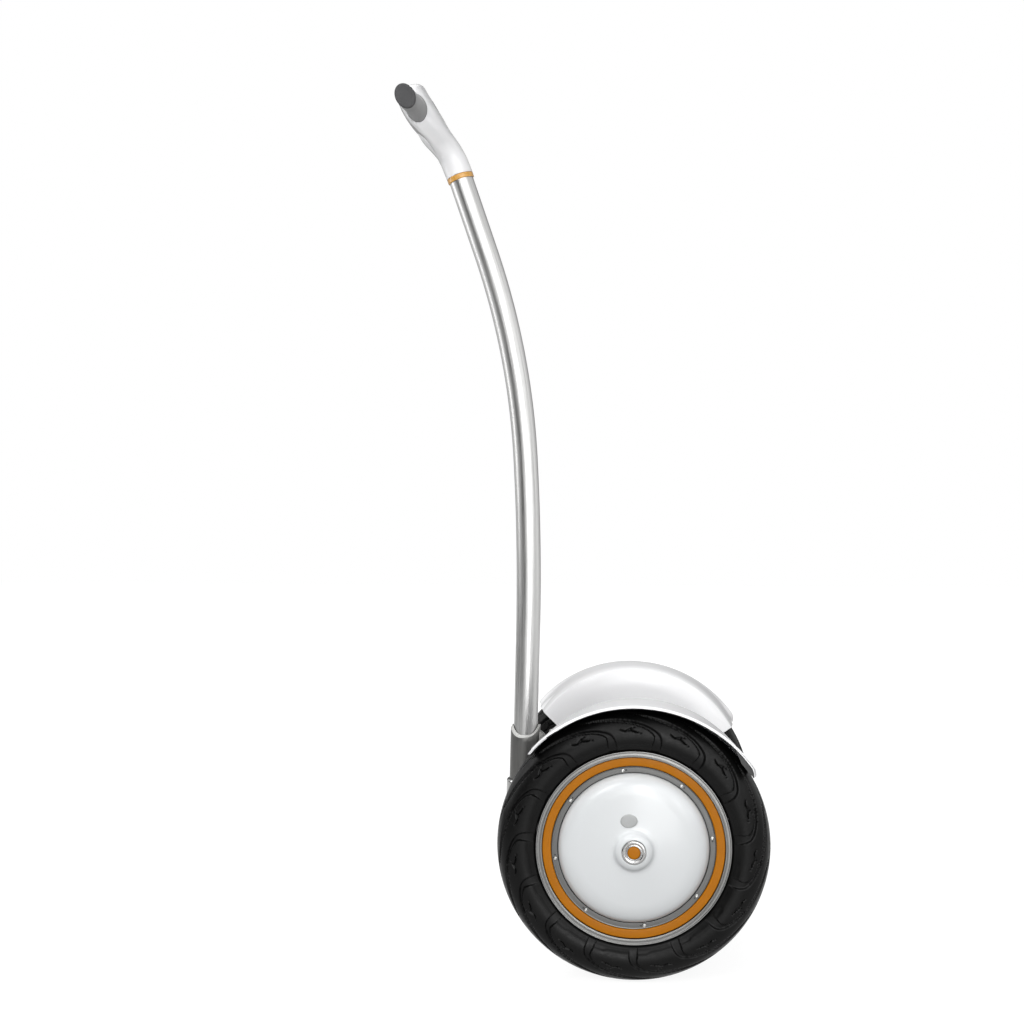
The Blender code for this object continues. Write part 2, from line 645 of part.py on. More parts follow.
def make_fender(side, sign, chassis, m):
    bm = bmesh.new()
    rows = []
    for step in range(FENDER_STEPS + 1):
        share = step / FENDER_STEPS
        rows.append([bm.verts.new(point) for point in fender_section(share, sign)])
    for low, high in zip(rows, rows[1:]):
        for i in range(len(low) - 1):
            bm.faces.new((low[i], low[i + 1], high[i + 1], high[i]))
    bmesh.ops.recalc_face_normals(bm, faces=bm.faces[:])
    fender = build_object(f"{side}_fender", bm, m["white"], chassis)
    # The crown faces away from the axle, whichever way the open sheet was turned
    mesh = fender.data
    top = max(mesh.polygons, key=lambda face: face.center.z)
    if top.normal.z < 0:
        mesh.flip_normals()
    solid = fender.modifiers.new("skin", "SOLIDIFY")
    solid.thickness = FENDER_SKIN
    solid.offset = -1.0
    solid.use_even_offset = True
    bm = bmesh.new()
    turned(bm, disc(0.0240, -0.02, 0.02), (0, sign * FENDER_WALL_Y, AXLE_Z), (0, 1, 0), (0, 0, 1),
           SHAFT_STEPS, False)
    cut(fender, f"cut_fender_axle_{side}", bm, chassis)


# Parking stand


def make_stand(chassis, group, m):
    pivot = Vector((STAND_X, 0, STAND_Z))
    # Bracket: an inverted U seen from the front
    top = BODY_FLOOR_Z - GAP
    base = top - 0.003
    foot_z = STAND_Z - 0.010
    half_u = [(0.030, foot_z), (0.030, top), (-0.030, top), (-0.030, foot_z),
              (-0.023, foot_z), (-0.023, base), (0.023, base), (0.023, foot_z)]
    bm = bmesh.new()
    prism(bm, [Vector((STAND_X - 0.011, y, z)) for y, z in half_u], Vector((0.022, 0, 0)))
    bracket = build_object("stand_bracket", bm, m["steel"], chassis)
    bm = bmesh.new()
    turned(bm, disc(0.0044, -0.05, 0.05), pivot, (0, 1, 0), (0, 0, 1), 16, False)
    cut(bracket, "cut_stand_bracket", bm, chassis)
    turned_object("stand_pin", disc(0.0040, -0.0335, 0.0335, 0.0005), pivot, (0, 1, 0), (0, 0, 1), 16,
                  m["steel"], chassis, closed=False)

    # Leg from the pin to the foot bar, as one bent plate in side view
    bar_z = FLOOR_Z + 0.0065
    foot = Vector((STAND_FOOT_X, 0, bar_z))
    down = (foot - pivot).normalized()
    side = Vector((down.z, 0, -down.x))
    half = 0.0045
    bm = bmesh.new()
    leg = [pivot - down * 0.0080 + side * half, pivot - down * 0.0080 - side * half,
           foot - side * half + Vector((0, 0, 0.009)), foot + side * half + Vector((0, 0, 0.009))]
    prism(bm, [point + Vector((0, -0.0215, 0)) for point in leg], Vector((0, 0.043, 0)))
    leg_piece = build_object("parking_stand", bm, m["steel"], group)
    bar = bmesh.new()
    block(bar, (STAND_FOOT_X - 0.009, -0.034, bar_z), (STAND_FOOT_X + 0.009, 0.034, bar_z + 0.011), 0.001)
    join(leg_piece, "join_stand_bar", bar, group)
    bm = bmesh.new()
    turned(bm, disc(0.0043, -0.05, 0.05), pivot, (0, 1, 0), (0, 0, 1), 16, False)
    cut(leg_piece, "cut_stand_leg", bm, group)
    block_object("stand_foot", (STAND_FOOT_X - 0.010, -0.036, FLOOR_Z),
                 (STAND_FOOT_X + 0.010, 0.036, bar_z - GAP), m["mat"], group, 0.001)


# Stem


def stem_path():
    """Centre line of the stem as (point, lean, distance), with a point about every STEM_STEP."""
    x, z = STEM_START
    lean = math.radians(STEM_LEAN_DEG)
    distance = 0.0
    stations = [(Vector((x, 0, z)), lean, distance)]
    for length, turn in STEM_RUNS:
        parts = max(1, round(length / STEM_STEP)) if turn else 1
        for _ in range(parts):
            middle = lean + math.radians(turn) / parts / 2
            x -= math.sin(middle) * length / parts
            z += math.cos(middle) * length / parts
            lean += math.radians(turn) / parts
            distance += length / parts
            stations.append((Vector((x, 0, z)), lean, distance))
    return stations


def stem_at(distance):
    """Point and lean of the centre line at a distance from its start, or on its straight extension."""
    stations = stem_path()
    for (low, lean_low, d_low), (high, lean_high, d_high) in zip(stations, stations[1:]):
        if distance <= d_high:
            share = (distance - d_low) / (d_high - d_low)
            return low.lerp(high, share), lean_low + (lean_high - lean_low) * share
    end, lean, reached = stations[-1]
    return end + Vector((-math.sin(lean), 0, math.cos(lean))) * (distance - reached), lean


def stem_circle(point, lean, radius, count):
    forward = Vector((-math.cos(lean), 0, -math.sin(lean)))
    side = Vector((0, 1, 0))
    ring_points = []
    for i in range(count):
        angle = math.tau * i / count
        ring_points.append(point + forward * radius * math.cos(angle) + side * radius * math.sin(angle))
    return ring_points


def make_stem(group, m):
    stations = [(p, lean) for p, lean, d in stem_path()]
    start, lean = stem_at(SLEEVE_BOTTOM_Z + GAP - STEM_START[1])
    stations[0] = (start, lean)
    inner_r = STEM_R - STEM_WALL
    rings = [stem_circle(p, lean, STEM_R, STEM_STEPS) for p, lean in stations]
    rings += [stem_circle(p, lean, inner_r, STEM_STEPS) for p, lean in reversed(stations)]
    bm = bmesh.new()
    skin(bm, rings, cyclic=True)
    build_object("stem_tube", bm, m["aluminium"], group)

    centre, lean = stem_at(RING_AT)
    axis = Vector((-math.sin(lean), 0, math.cos(lean)))
    half = RING_HEIGHT / 2
    bore = STEM_R + 0.0004
    profile = [(RING_R - 0.0006, -half), (RING_R, -half + 0.001), (RING_R, half - 0.001),
               (RING_R - 0.0006, half), (bore, half), (bore, -half)]
    turned_object("stem_ring", profile, centre, axis, (0, 1, 0), 24, m["orange"], group)


def sleeve_ring(z, radius, saddle, count=24):
    """Ring of the sleeve; saddle lifts its front and rear above its sides."""
    points = []
    for i in range(count):
        angle = math.tau * i / count
        height = z + saddle * abs(math.cos(angle)) ** 3.3
        centre, lean = stem_at(height - STEM_START[1])
        points.append(Vector((centre.x + radius * math.cos(angle), radius * math.sin(angle), height)))
    return points


def make_sleeve(group, m):
    low, side = SLEEVE_BOTTOM_Z, SLEEVE_SIDE_Z
    rings = [sleeve_ring(low, SLEEVE_OUTER_R, 0.0),
             sleeve_ring(side - 0.012, SLEEVE_OUTER_R, 0.0),
             sleeve_ring(side - 0.001, SLEEVE_OUTER_R, SLEEVE_PEAK),
             sleeve_ring(side, SLEEVE_OUTER_R - 0.0008, SLEEVE_PEAK),
             sleeve_ring(side, SLEEVE_INNER_R + 0.0008, SLEEVE_PEAK),
             sleeve_ring(side - 0.002, SLEEVE_INNER_R, SLEEVE_PEAK),
             sleeve_ring(side - 0.014, SLEEVE_INNER_R, 0.0),
             sleeve_ring(low, SLEEVE_INNER_R, 0.0)]
    bm = bmesh.new()
    skin(bm, rings, cyclic=True)
    sleeve = build_object("stem_sleeve", bm, m["aluminium"], group)

    # Web behind the sleeve, joined to it
    bm = bmesh.new()
    web = [(-0.1478, 0.3325), (-0.1420, 0.3310), (-0.1345, 0.3240), (-0.1345, 0.2600),
           (-0.1478, 0.2600)]
    prism(bm, [Vector((x, -0.0085, z)) for x, z in web], Vector((0, 0.017, 0)))
    join(sleeve, "join_sleeve_web", bm, group)

    foot, lean = stem_at(COLLAR_AT)
    axis = Vector((-math.sin(lean), 0, math.cos(lean)))
    reach = COLLAR_TOP_Z - foot.z
    bore = SLEEVE_OUTER_R + 0.0005
    profile = [(COLLAR_R - 0.001, -COLLAR_BELOW), (COLLAR_R, 0.001 - COLLAR_BELOW),
               (COLLAR_R, reach - 0.0035), (COLLAR_R - 0.0040, reach), (bore, reach),
               (bore, -COLLAR_BELOW)]
    turned_object("stem_collar", profile, foot, axis, (0, 1, 0), 24, m["chrome"], group)
    turned_object("collar_screw", disc(0.0045, 0.0, 0.0035, 0.0006),
                  foot - Vector((0, COLLAR_R + GAP, 0)), (0, -1, 0), (0, 0, 1), 12, m["steel"],
                  group, closed=False)

    knuckle = block_object("stem_knuckle", (-0.1990, -0.0280, 0.1720),
                           (-0.1430, 0.0280, SLEEVE_BOTTOM_Z - GAP), m["aluminium"], group, 0.005)
    bm = bmesh.new()
    turned(bm, disc(PIVOT_SHAFT_R + 0.0004, -0.194, -0.100), (0, 0, PIVOT_Z), (1, 0, 0), (0, 0, 1),
           SHAFT_STEPS, False)
    cut(knuckle, "cut_knuckle_bore", bm, group)
    turned_object("pivot_shaft", disc(PIVOT_SHAFT_R, -0.1935, -0.0320, 0.001), (0, 0, PIVOT_Z),
                  (1, 0, 0), (0, 0, 1), SHAFT_STEPS, m["steel"], group, closed=False)


# Handle


def make_handle(group, m):
    rings = []
    for distance in (RING_AT + RING_HEIGHT / 2 + GAP, RING_AT + 0.018):
        point, lean = stem_at(distance)
        rings.append(stem_circle(point, lean, NECK_R, HEAD_POINTS))
    rings += [superellipse(*section, HEAD_POINTS) for section in HEAD_SECTIONS]
    bm = bmesh.new()
    skin(bm, rings)
    bmesh.ops.triangulate(bm, faces=bm.faces[:])
    head = build_object("handle_head", bm, m["white"], group, 50.0)

    # Spigot that plugs into the stem, bore for the bar, pockets for the grips and the display
    top, lean = stem_at(RING_AT)
    axis = Vector((-math.sin(lean), 0, math.cos(lean)))
    bm = bmesh.new()
    turned(bm, disc(SPIGOT_R, -SPIGOT_LENGTH, 0.012), top, axis, (0, 1, 0), STEM_STEPS, False)
    join(head, "join_head_spigot", bm, group)
    bm = bmesh.new()
    skin(bm, bar_rings(BAR_BORE_R, 0.1))
    cut(head, "cut_head_bar", bm, group)
    for side, sign in (("left", -1), ("right", 1)):
        bm = bmesh.new()
        skin(bm, [oval(sign * y, *POCKET_HALF, 24, POCKET_LEAN_DEG)
                  for y in (GRIP_ROOT_Y - GAP, POCKET_END_Y)])
        cut(head, f"cut_head_grip_{side}", bm, group)

    bm = bmesh.new()
    skin(bm, bar_rings(BAR_R, BAR_REACH_Y) + bar_rings(BAR_R - BAR_WALL, BAR_REACH_Y)[::-1], cyclic=True)
    build_object("handlebar_tube", bm, m["steel"], group, 50.0)
    for side, sign in (("left", -1), ("right", 1)):
        make_grip(side, sign, group, m)
    make_display(head, group, m)


def bar_rings(radius, reach):
    """Round sections of the bar, which is bent in the middle."""
    return [oval(y, radius, radius, 24) for y in (-reach, 0.0, reach)]


def make_grip(side, sign, group, m):
    root = [half - POCKET_GAP for half in POCKET_HALF]
    middle = [(wide + slim) / 2 for wide, slim in zip(root, GRIP_HALF)]
    middle_lean = (POCKET_LEAN_DEG + GRIP_LEAN_DEG) / 2
    flare_start, flare_end = GRIP_FLARE_Y
    sections = [(GRIP_ROOT_Y, root, POCKET_LEAN_DEG), (flare_start, root, POCKET_LEAN_DEG),
                ((flare_start + flare_end) / 2, middle, middle_lean), (flare_end, GRIP_HALF, GRIP_LEAN_DEG),
                (GRIP_END_Y, GRIP_HALF, GRIP_LEAN_DEG)]
    outer = [oval(sign * y, *half, 24, lean) for y, half, lean in sections]
    inner = [oval(sign * y, BAR_BORE_R, BAR_BORE_R, 24) for y in (GRIP_END_Y, GRIP_ROOT_Y)]
    bm = bmesh.new()
    skin(bm, outer + inner, cyclic=True)
    build_object(f"{side}_grip", bm, m["grip"], group, 50.0)
    bm = bmesh.new()
    rim = 0.0015
    skin(bm, [oval(sign * (GRIP_END_Y + GAP), *GRIP_HALF, 24),
              oval(sign * (GRIP_CAP_Y - rim), *GRIP_HALF, 24),
              oval(sign * GRIP_CAP_Y, *(half - rim for half in GRIP_HALF), 24)])
    build_object(f"{side}_grip_cap", bm, m["grip"], group, 50.0)


def make_display(head, group, m):
    """Flush status window in the face of the head that looks at the rider."""
    centre = Vector((-0.3074, 0, 1.3110))
    up = Vector((-0.516, 0, 0.856))
    out = Vector((0.856, 0, 0.516))
    side = Vector((0, 1, 0))

    def plate(bm, half_up, half_side, low, high):
        corners = [(-half_up, -half_side), (-half_up, half_side), (half_up, half_side),
                   (half_up, -half_side)]
        prism(bm, [centre + up * a + side * b + out * low for a, b in corners], out * (high - low))

    bm = bmesh.new()
    plate(bm, 0.0103, 0.0163, -0.0024, 0.010)
    cut(head, "cut_head_display", bm, group)
    bm = bmesh.new()
    plate(bm, 0.0100, 0.0160, -0.0020, 0.0002)
    build_object("status_display", bm, m["dark_lens"], group)


def main():
    clear_scene()
    m = make_materials()
    root = empty("scooter", (AXLE_X, 0, -FLOOR_Z))

    def group(name, origin):
        origin = Vector(origin)
        return {"empty": empty(name, origin, root), "origin": origin}

    chassis = group("chassis", (0, 0, 0))
    groups = {
        "left_wheel": group("left_wheel_joint", (0, -HALF_TRACK, AXLE_Z)),
        "right_wheel": group("right_wheel_joint", (0, HALF_TRACK, AXLE_Z)),
        "steering": group("steering_joint", (PIVOT_X, 0, PIVOT_Z)),
        "stand": group("stand_joint", (STAND_X, 0, STAND_Z)),
        "left_foot_mat": group("left_mat_joint", (0, -0.08, DECK_Z)),
        "right_foot_mat": group("right_mat_joint", (0, 0.08, DECK_Z)),
        "power_button": group("button_joint", (BODY_REAR, BUTTON_Y, REAR_PANEL_Z)),
        "charge_cap": group("cap_joint", (BODY_REAR + 0.0022, CHARGE_Y, REAR_PANEL_Z + 0.0130)),
    }
    upper = body_shells(chassis, m)
    foot_mats(upper, chassis, groups, m)
    front_console(chassis, m)
    body_inside(chassis, m)
    rear_panel(chassis, groups, m)
    for side, sign in (("left", -1), ("right", 1)):
        make_fender(side, sign, chassis, m)
        make_wheel(side, sign, groups[f"{side}_wheel"], chassis, m)
    make_stand(chassis, groups["stand"], m)
    make_stem(groups["steering"], m)
    make_sleeve(groups["steering"], m)
    make_handle(groups["steering"], m)


main()
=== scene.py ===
"""Looks of the self-balancing scooter: finishes, tread, fasteners, light and camera.

Pieces are written in the scooter's own coordinates, in metres. X = 0 is the line of the wheel
axles, AXLE_Z is their height, the scooter faces -X and the rider's left is -Y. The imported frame
has its origin elsewhere, so each mesh is shifted by AXLE_X and LIFT when it is made.
"""
from math import copysign, cos, hypot, radians, sin, sqrt, tau

import bmesh
import bpy
import numpy as np
from mathutils import Matrix, Vector


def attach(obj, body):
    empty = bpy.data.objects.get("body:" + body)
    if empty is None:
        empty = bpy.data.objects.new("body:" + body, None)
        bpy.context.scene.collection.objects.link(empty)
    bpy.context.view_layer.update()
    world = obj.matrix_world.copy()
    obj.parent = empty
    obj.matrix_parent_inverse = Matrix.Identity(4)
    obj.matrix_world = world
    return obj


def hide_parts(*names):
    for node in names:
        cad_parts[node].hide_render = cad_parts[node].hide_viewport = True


# The scooter's sizes, as in the CAD part
AXLE_X = 0.082
AXLE_Z = 0.2
WHEEL_R = 0.2015
LIFT = WHEEL_R - AXLE_Z
HALF_TRACK = 0.2
BODY_FRONT = -0.132
BODY_REAR = 0.165
BODY_HALF_WIDTH = 0.1535
BODY_FLOOR_Z = 0.1
PARTING_Z = 0.2
DECK_Z = 0.228
MAT_BASE_Z = 0.2245
PIVOT_Z = 0.196
REAR_PANEL_Z = 0.165
BUTTON_Y = 0.1
CHARGE_Y = -0.1
GRIP_X = -0.3328
GRIP_Z = 1.305
GRIP_SWEEP = 0.0147
GRIP_DROOP = 0.037
SIDES = (("left", -1), ("right", 1))

# Screws of a wheel's cover and back cover
SCREWS = 8
SCREW_CIRCLE_R = 0.1157
BACK_SCREW_CIRCLE_R = 0.112

# Repeats of the tread round the tyre, and the angle of the first one
PITCHES = 15
NOTCH_DEG = -12

# Photograph's camera, from the axle's foot on the middle plane
CAMERA_AT = (-0.0442, -2.9279, 0.8395)
CAMERA_PITCH = 0.0543
CAMERA_YAW = 0.0496
CAMERA_LENS = 65.48

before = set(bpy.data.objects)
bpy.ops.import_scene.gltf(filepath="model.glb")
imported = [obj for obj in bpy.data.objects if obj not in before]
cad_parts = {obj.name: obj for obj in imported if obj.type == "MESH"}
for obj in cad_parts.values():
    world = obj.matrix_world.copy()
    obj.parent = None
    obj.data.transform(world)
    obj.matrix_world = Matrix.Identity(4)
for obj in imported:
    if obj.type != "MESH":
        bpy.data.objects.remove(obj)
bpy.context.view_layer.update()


# Meshes


def fillet(points, radius, steps=3, closed=True):
    """Round the corners of a flat outline. A corner's radius shrinks where its edges are short."""
    count = len(points)
    radii = radius if isinstance(radius, (list, tuple)) else [radius] * count
    result = []
    for i, here in enumerate(points):
        if not closed and i in (0, count - 1):
            result.append(tuple(here))
            continue
        here = Vector(here)
        before = Vector(points[i - 1]) - here
        after = Vector(points[(i + 1) % count]) - here
        r = min(radii[i], before.length * 0.45, after.length * 0.45)
        if r < 1e-7:
            result.append(tuple(here))
            continue
        start = here + before.normalized() * r
        end = here + after.normalized() * r
        for step in range(steps + 1):
            t = step / steps
            result.append(tuple(start * (1 - t) ** 2 + here * 2 * t * (1 - t) + end * t * t))
    return result


def smooth_curve(points, count):
    """Resample a Catmull-Rom curve through points at even steps of arc length."""
    p = np.array([points[0]] + list(points) + [points[-1]], float)
    dense = []
    for a, b, c, d in zip(p, p[1:], p[2:], p[3:]):
        for t in np.linspace(0, 1, 24, endpoint=False):
            dense.append(0.5 * (2 * b + (c - a) * t + (2 * a - 5 * b + 4 * c - d) * t ** 2
                                + (3 * b - a - 3 * c + d) * t ** 3))
    dense.append(p[-1])
    dense = np.array(dense)
    length = np.concatenate([[0], np.cumsum(np.linalg.norm(np.diff(dense, axis=0), axis=1))])
    even = np.linspace(0, length[-1], count)
    return np.stack([np.interp(even, length, dense[:, k]) for k in range(dense.shape[1])], axis=1)


def turns(count):
    """Even angles all the way round."""
    return [tau * i / count for i in range(count)]


def grid(rows, close_rows=False, close_columns=True, caps=True):
    """Mesh of quads over rows of equal length, as (vertices, faces)."""
    verts = [tuple(point) for row in rows for point in row]
    wide = len(rows[0])
    tall = len(rows)
    faces = []
    for i in range(tall if close_rows else tall - 1):
        for j in range(wide if close_columns else wide - 1):
            low, high = i * wide, (i + 1) % tall * wide
            k = (j + 1) % wide
            faces.append((low + j, low + k, high + k, high + j))
    if caps and not close_rows and close_columns:
        faces.append(tuple(range(wide)))
        faces.append(tuple(range((tall - 1) * wide, tall * wide)))
    return verts, faces


def lathe(profile, centre, axis, steps):
    """Spin (radius, distance along the axis) points round an axis, as (vertices, faces)."""
    axis = Vector(axis).normalized()
    across = axis.orthogonal().normalized()
    turn = axis.cross(across)
    centre = Vector(centre)
    rows = []
    for angle in turns(steps):
        out = across * cos(angle) + turn * sin(angle)
        rows.append([centre + out * r + axis * d for r, d in profile])
    return grid(rows, close_rows=True)


def wheel_lathe(profile_mm, sign, corner_mm, steps):
    """Spin a closed profile of (radius, outboard distance) in millimetres about a wheel's axle."""
    profile = [(r / 1000, d / 1000) for r, d in fillet(profile_mm, corner_mm)]
    return lathe(profile, (0, sign * HALF_TRACK, AXLE_Z), (0, sign, 0), steps)


def merged(*shapes):
    """Several (vertices, faces) as one."""
    verts, faces = [], []
    for v, f in shapes:
        base = len(verts)
        verts += list(v)
        faces += [tuple(base + i for i in face) for face in f]
    return verts, faces


def box_shape(low, high, bevel, segments=2):
    """Box with rounded edges."""
    bm = bmesh.new()
    low, high = Vector(low), Vector(high)
    middle = (low + high) / 2
    bmesh.ops.create_cube(bm, size=1.0, matrix=Matrix.Diagonal((*(high - low), 1.0)))
    bmesh.ops.bevel(bm, geom=bm.edges[:], offset=bevel, segments=segments, profile=0.5,
                    affect="EDGES", clamp_overlap=True)
    bm.verts.index_update()
    verts = [tuple(v.co + middle) for v in bm.verts]
    faces = [tuple(v.index for v in face.verts) for face in bm.faces]
    bm.free()
    return verts, faces


def new_object(name, data):
    made = bpy.data.objects.new(name, data)
    bpy.context.collection.objects.link(made)
    return made


def mesh_object(name, shape, smooth_deg=38):
    """Object of a shape in scooter coordinates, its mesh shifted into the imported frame."""
    bm = bmesh.new()
    verts = [bm.verts.new((x + AXLE_X, y, z + LIFT)) for x, y, z in shape[0]]
    for face in shape[1]:
        try:
            bm.faces.new([verts[i] for i in face])
        except ValueError:
            continue
    bmesh.ops.remove_doubles(bm, verts=bm.verts[:], dist=2e-6)
    bmesh.ops.recalc_face_normals(bm, faces=bm.faces[:])
    mesh = bpy.data.meshes.new(name)
    bm.to_mesh(mesh)
    bm.free()
    shade(mesh, smooth_deg)
    return new_object(name, mesh)


def shade(mesh, smooth_deg):
    """Smooth shading, apart from edges sharper than an angle."""
    mesh.shade_smooth()
    mesh.set_sharp_from_angle(angle=radians(smooth_deg))


def dress(piece, look, body, *replaced):
    """Give a piece its finish, its CAD body and the nodes it stands for."""
    slot, material = LOOKS[look]
    piece.data.materials.clear()
    piece.data.materials.append(material)
    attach(piece, body)
    if replaced:
        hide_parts(*replaced)


def add(name, shape, look, body, *replaced, smooth_deg=38):
    dress(mesh_object(name, shape, smooth_deg), look, body, *replaced)


def apply_modifiers(piece):
    """Bake a piece's modifiers into its mesh."""
    graph = bpy.context.evaluated_depsgraph_get()
    mesh = bpy.data.meshes.new_from_object(piece.evaluated_get(graph), depsgraph=graph)
    piece.modifiers.clear()
    piece.data = mesh


def combine(piece, shapes, smooth_deg=38, operation="DIFFERENCE"):
    """Take shapes away from a piece, or join them to it, before it is dressed."""
    helpers = [mesh_object(f"helper_{i}", shape) for i, shape in enumerate(shapes)]
    for helper in helpers:
        modifier = piece.modifiers.new(helper.name, "BOOLEAN")
        modifier.operation = operation
        modifier.solver = "EXACT"
        modifier.object = helper
    apply_modifiers(piece)
    for helper in helpers:
        bpy.data.objects.remove(helper, do_unlink=True)
    shade(piece.data, smooth_deg)


def rounded_rectangle(x_low, x_high, half_width, corner, z, steps):
    centres = ((x_high - corner, half_width - corner, 0), (x_low + corner, half_width - corner, 90),
               (x_low + corner, corner - half_width, 180), (x_high - corner, corner - half_width, 270))
    points = []
    for cx, cy, start in centres:
        for step in range(steps + 1):
            angle = radians(start + 90 * step / steps)
            points.append((cx + corner * cos(angle), cy + corner * sin(angle), z))
    return points


# Materials


# Finishes by name, each with its slot of the record
LOOKS = {}


def feed(tree, value, socket):
    """Set a socket to a value, or link another socket to it."""
    if isinstance(value, bpy.types.NodeSocket):
        tree.links.new(value, socket)
    else:
        socket.default_value = value


def new_node(tree, kind, inputs=(), out=0, **settings):
    """Add a node and return one of its outputs. Each input is a value or another output."""
    made = tree.nodes.new("ShaderNode" + kind)
    for key, value in settings.items():
        setattr(made, key, value)
    for key, value in dict(inputs).items():
        feed(tree, value, made.inputs[key])
    return made.outputs[out]


class Finish:
    """Small helper that builds one node material."""

    def __init__(self, name, colour, roughness, metallic=0.0, **sockets):
        self.material = bpy.data.materials.new(name)
        self.material.use_nodes = True
        self.tree = self.material.node_tree
        self.shader = self.tree.nodes["Principled BSDF"].inputs
        self.set(Base_Color=(*colour, 1.0), Roughness=roughness, Metallic=metallic, **sockets)
        self.where = self.node("TexCoord", out="Object")
        self.relief = None

    def set(self, **sockets):
        for name, value in sockets.items():
            feed(self.tree, value, self.shader[name.replace("_", " ")])

    def node(self, kind, inputs=(), out=0, **settings):
        return new_node(self.tree, kind, inputs, out, **settings)

    def scaled(self, scale, source):
        """Coordinates, stretched by a scale for each axis."""
        return self.node("Mapping", {"Scale": scale, "Vector": source})

    def noise(self, scale, detail=3, roughness=0.5, source=None):
        return self.node("TexNoise", {"Scale": scale, "Detail": detail, "Roughness": roughness,
                                      "Vector": source or self.where})

    def spread(self, value, low, high):
        """Map the middle of a noise onto a range."""
        return self.node("MapRange", {"Value": value, "From Min": 0.3, "From Max": 0.7,
                                      "To Min": low, "To Max": high})

    def roughness(self, value, low, high):
        self.set(Roughness=self.spread(value, low, high))

    def waver(self, value, darker, colour):
        """Let the base colour run between two colours."""
        inputs = {"Factor": self.spread(value, 0.0, 1.0), "A": (*darker, 1.0), "B": (*colour, 1.0)}
        self.set(Base_Color=self.node("Mix", inputs, "Result", data_type="RGBA"))

    def bump(self, height, distance, strength=1.0):
        inputs = {"Distance": distance, "Strength": strength, "Height": height}
        if self.relief is not None:
            inputs["Normal"] = self.relief
        self.relief = self.node("Bump", inputs)
        self.set(Normal=self.relief)

    def beside_line(self, curve):
        """Object coordinates with X counted from a line, whose X is a polynomial of its height."""
        x, y, z = (self.node("SeparateXYZ", {0: self.where}, axis) for axis in "XYZ")
        line = curve[0]
        for factor in curve[1:]:
            line = self.node("Math", {0: line, 1: z, 2: factor}, operation="MULTIPLY_ADD")
        beside = self.node("Math", {0: x, 1: line}, operation="SUBTRACT")
        return self.node("CombineXYZ", {"X": beside, "Y": y, "Z": z})

    def radius_about_axle(self):
        """Distance from the wheels' axle line, the same at any turn of the wheel."""
        arm = self.node("VectorMath", {0: self.where, 1: (AXLE_X, 0, WHEEL_R)}, operation="SUBTRACT")
        flat = self.node("VectorMath", {0: arm, 1: (1, 0, 1)}, operation="MULTIPLY")
        return self.node("VectorMath", {0: flat}, "Value", operation="LENGTH")


def dim(colour, share):
    """Darker shade of a colour."""
    return tuple(c * share for c in colour)


def white_plastic(name, tint=(0.86, 0.86, 0.87)):
    f = Finish(name, tint, 0.24, Coat_Weight=0.2, Coat_Roughness=0.08, IOR=1.46)
    f.waver(f.noise(9), dim(tint, 0.985), tint)
    f.roughness(f.noise(40, 2), 0.24, 0.26)
    f.bump(f.noise(260, 1.0), 0.00001, 0.3)
    return f.material


def brushed_metal(name, colour, scale, rough=(0.26, 0.42), lines=0.00004, curve=None):
    """Metal brushed along the axis whose scale is small, or along a curve that is near it."""
    f = Finish(name, colour, 0.35, 1.0)
    source = f.beside_line(curve) if curve else f.where
    grain = f.noise(1.0, 5, 0.7, f.scaled(scale, source))
    f.waver(grain, dim(colour, 0.78), colour)
    f.roughness(grain, *rough)
    f.bump(grain, lines, 0.6)
    return f.material


def turned_metal(name, colour, rough=(0.24, 0.4), rings=1400):
    """Metal turned on a lathe: fine rings about the axle."""
    f = Finish(name, colour, 0.32, 1.0)
    grain = f.noise(rings, 3, 0.6, f.node("CombineXYZ", {"X": f.radius_about_axle()}))
    f.waver(grain, dim(colour, 0.8), colour)
    cloud = f.spread(f.noise(14, 2), 0.8, 1.2)
    f.roughness(f.node("Math", {0: grain, 1: cloud}, operation="MULTIPLY"), *rough)
    f.bump(grain, 0.00003, 0.6)
    return f.material


def tyre_rubber():
    f = Finish("tyre_rubber", (0.003, 0.003, 0.003), 0.36, Specular_IOR_Level=0.12)
    f.waver(f.noise(26, 5, 0.6), (0.0018, 0.0018, 0.0018), (0.0042, 0.0042, 0.0041))
    f.roughness(f.noise(180), 0.28, 0.44)
    f.bump(f.noise(900), 0.00008, 0.5)
    f.bump(f.noise(70), 0.0002, 0.3)
    return f.material


def soft_rubber(name, colour, cell=1500, rough=(0.55, 0.75)):
    f = Finish(name, colour, 0.65, Specular_IOR_Level=0.35)
    cloud = f.noise(40, 4)
    f.waver(cloud, dim(colour, 0.82), colour)
    f.roughness(cloud, *rough)
    f.bump(f.node("TexVoronoi", {"Scale": cell, "Vector": f.where}, "Distance"), 0.0001, 0.5)
    return f.material


def painted(name, colour, rough=0.25, coat=0.3, specular=0.5):
    f = Finish(name, colour, rough, Coat_Weight=coat, Coat_Roughness=0.05, Specular_IOR_Level=specular)
    f.waver(f.noise(18), dim(colour, 0.9), colour)
    f.roughness(f.noise(90), rough * 0.8, rough * 1.3)
    f.bump(f.noise(500, 2), 0.00003, 0.5)
    return f.material


def moulded(name, colour, rough=(0.42, 0.6)):
    """Plastic with a fine spark-eroded texture."""
    f = Finish(name, colour, 0.5)
    f.waver(f.noise(30), dim(colour, 0.85), colour)
    f.roughness(f.noise(120), *rough)
    f.bump(f.noise(900, 2), 0.00006, 0.6)
    return f.material


def red_lens():
    f = Finish("red_lens", (0.42, 0.008, 0.008), 0.1, Coat_Weight=0.6, Coat_Roughness=0.04)
    f.roughness(f.noise(200), 0.07, 0.14)
    wave = f.node("TexWave", {"Scale": 160, "Vector": f.where}, "Fac", bands_direction="Y")
    f.bump(wave, 0.0002, 0.5)
    return f.material


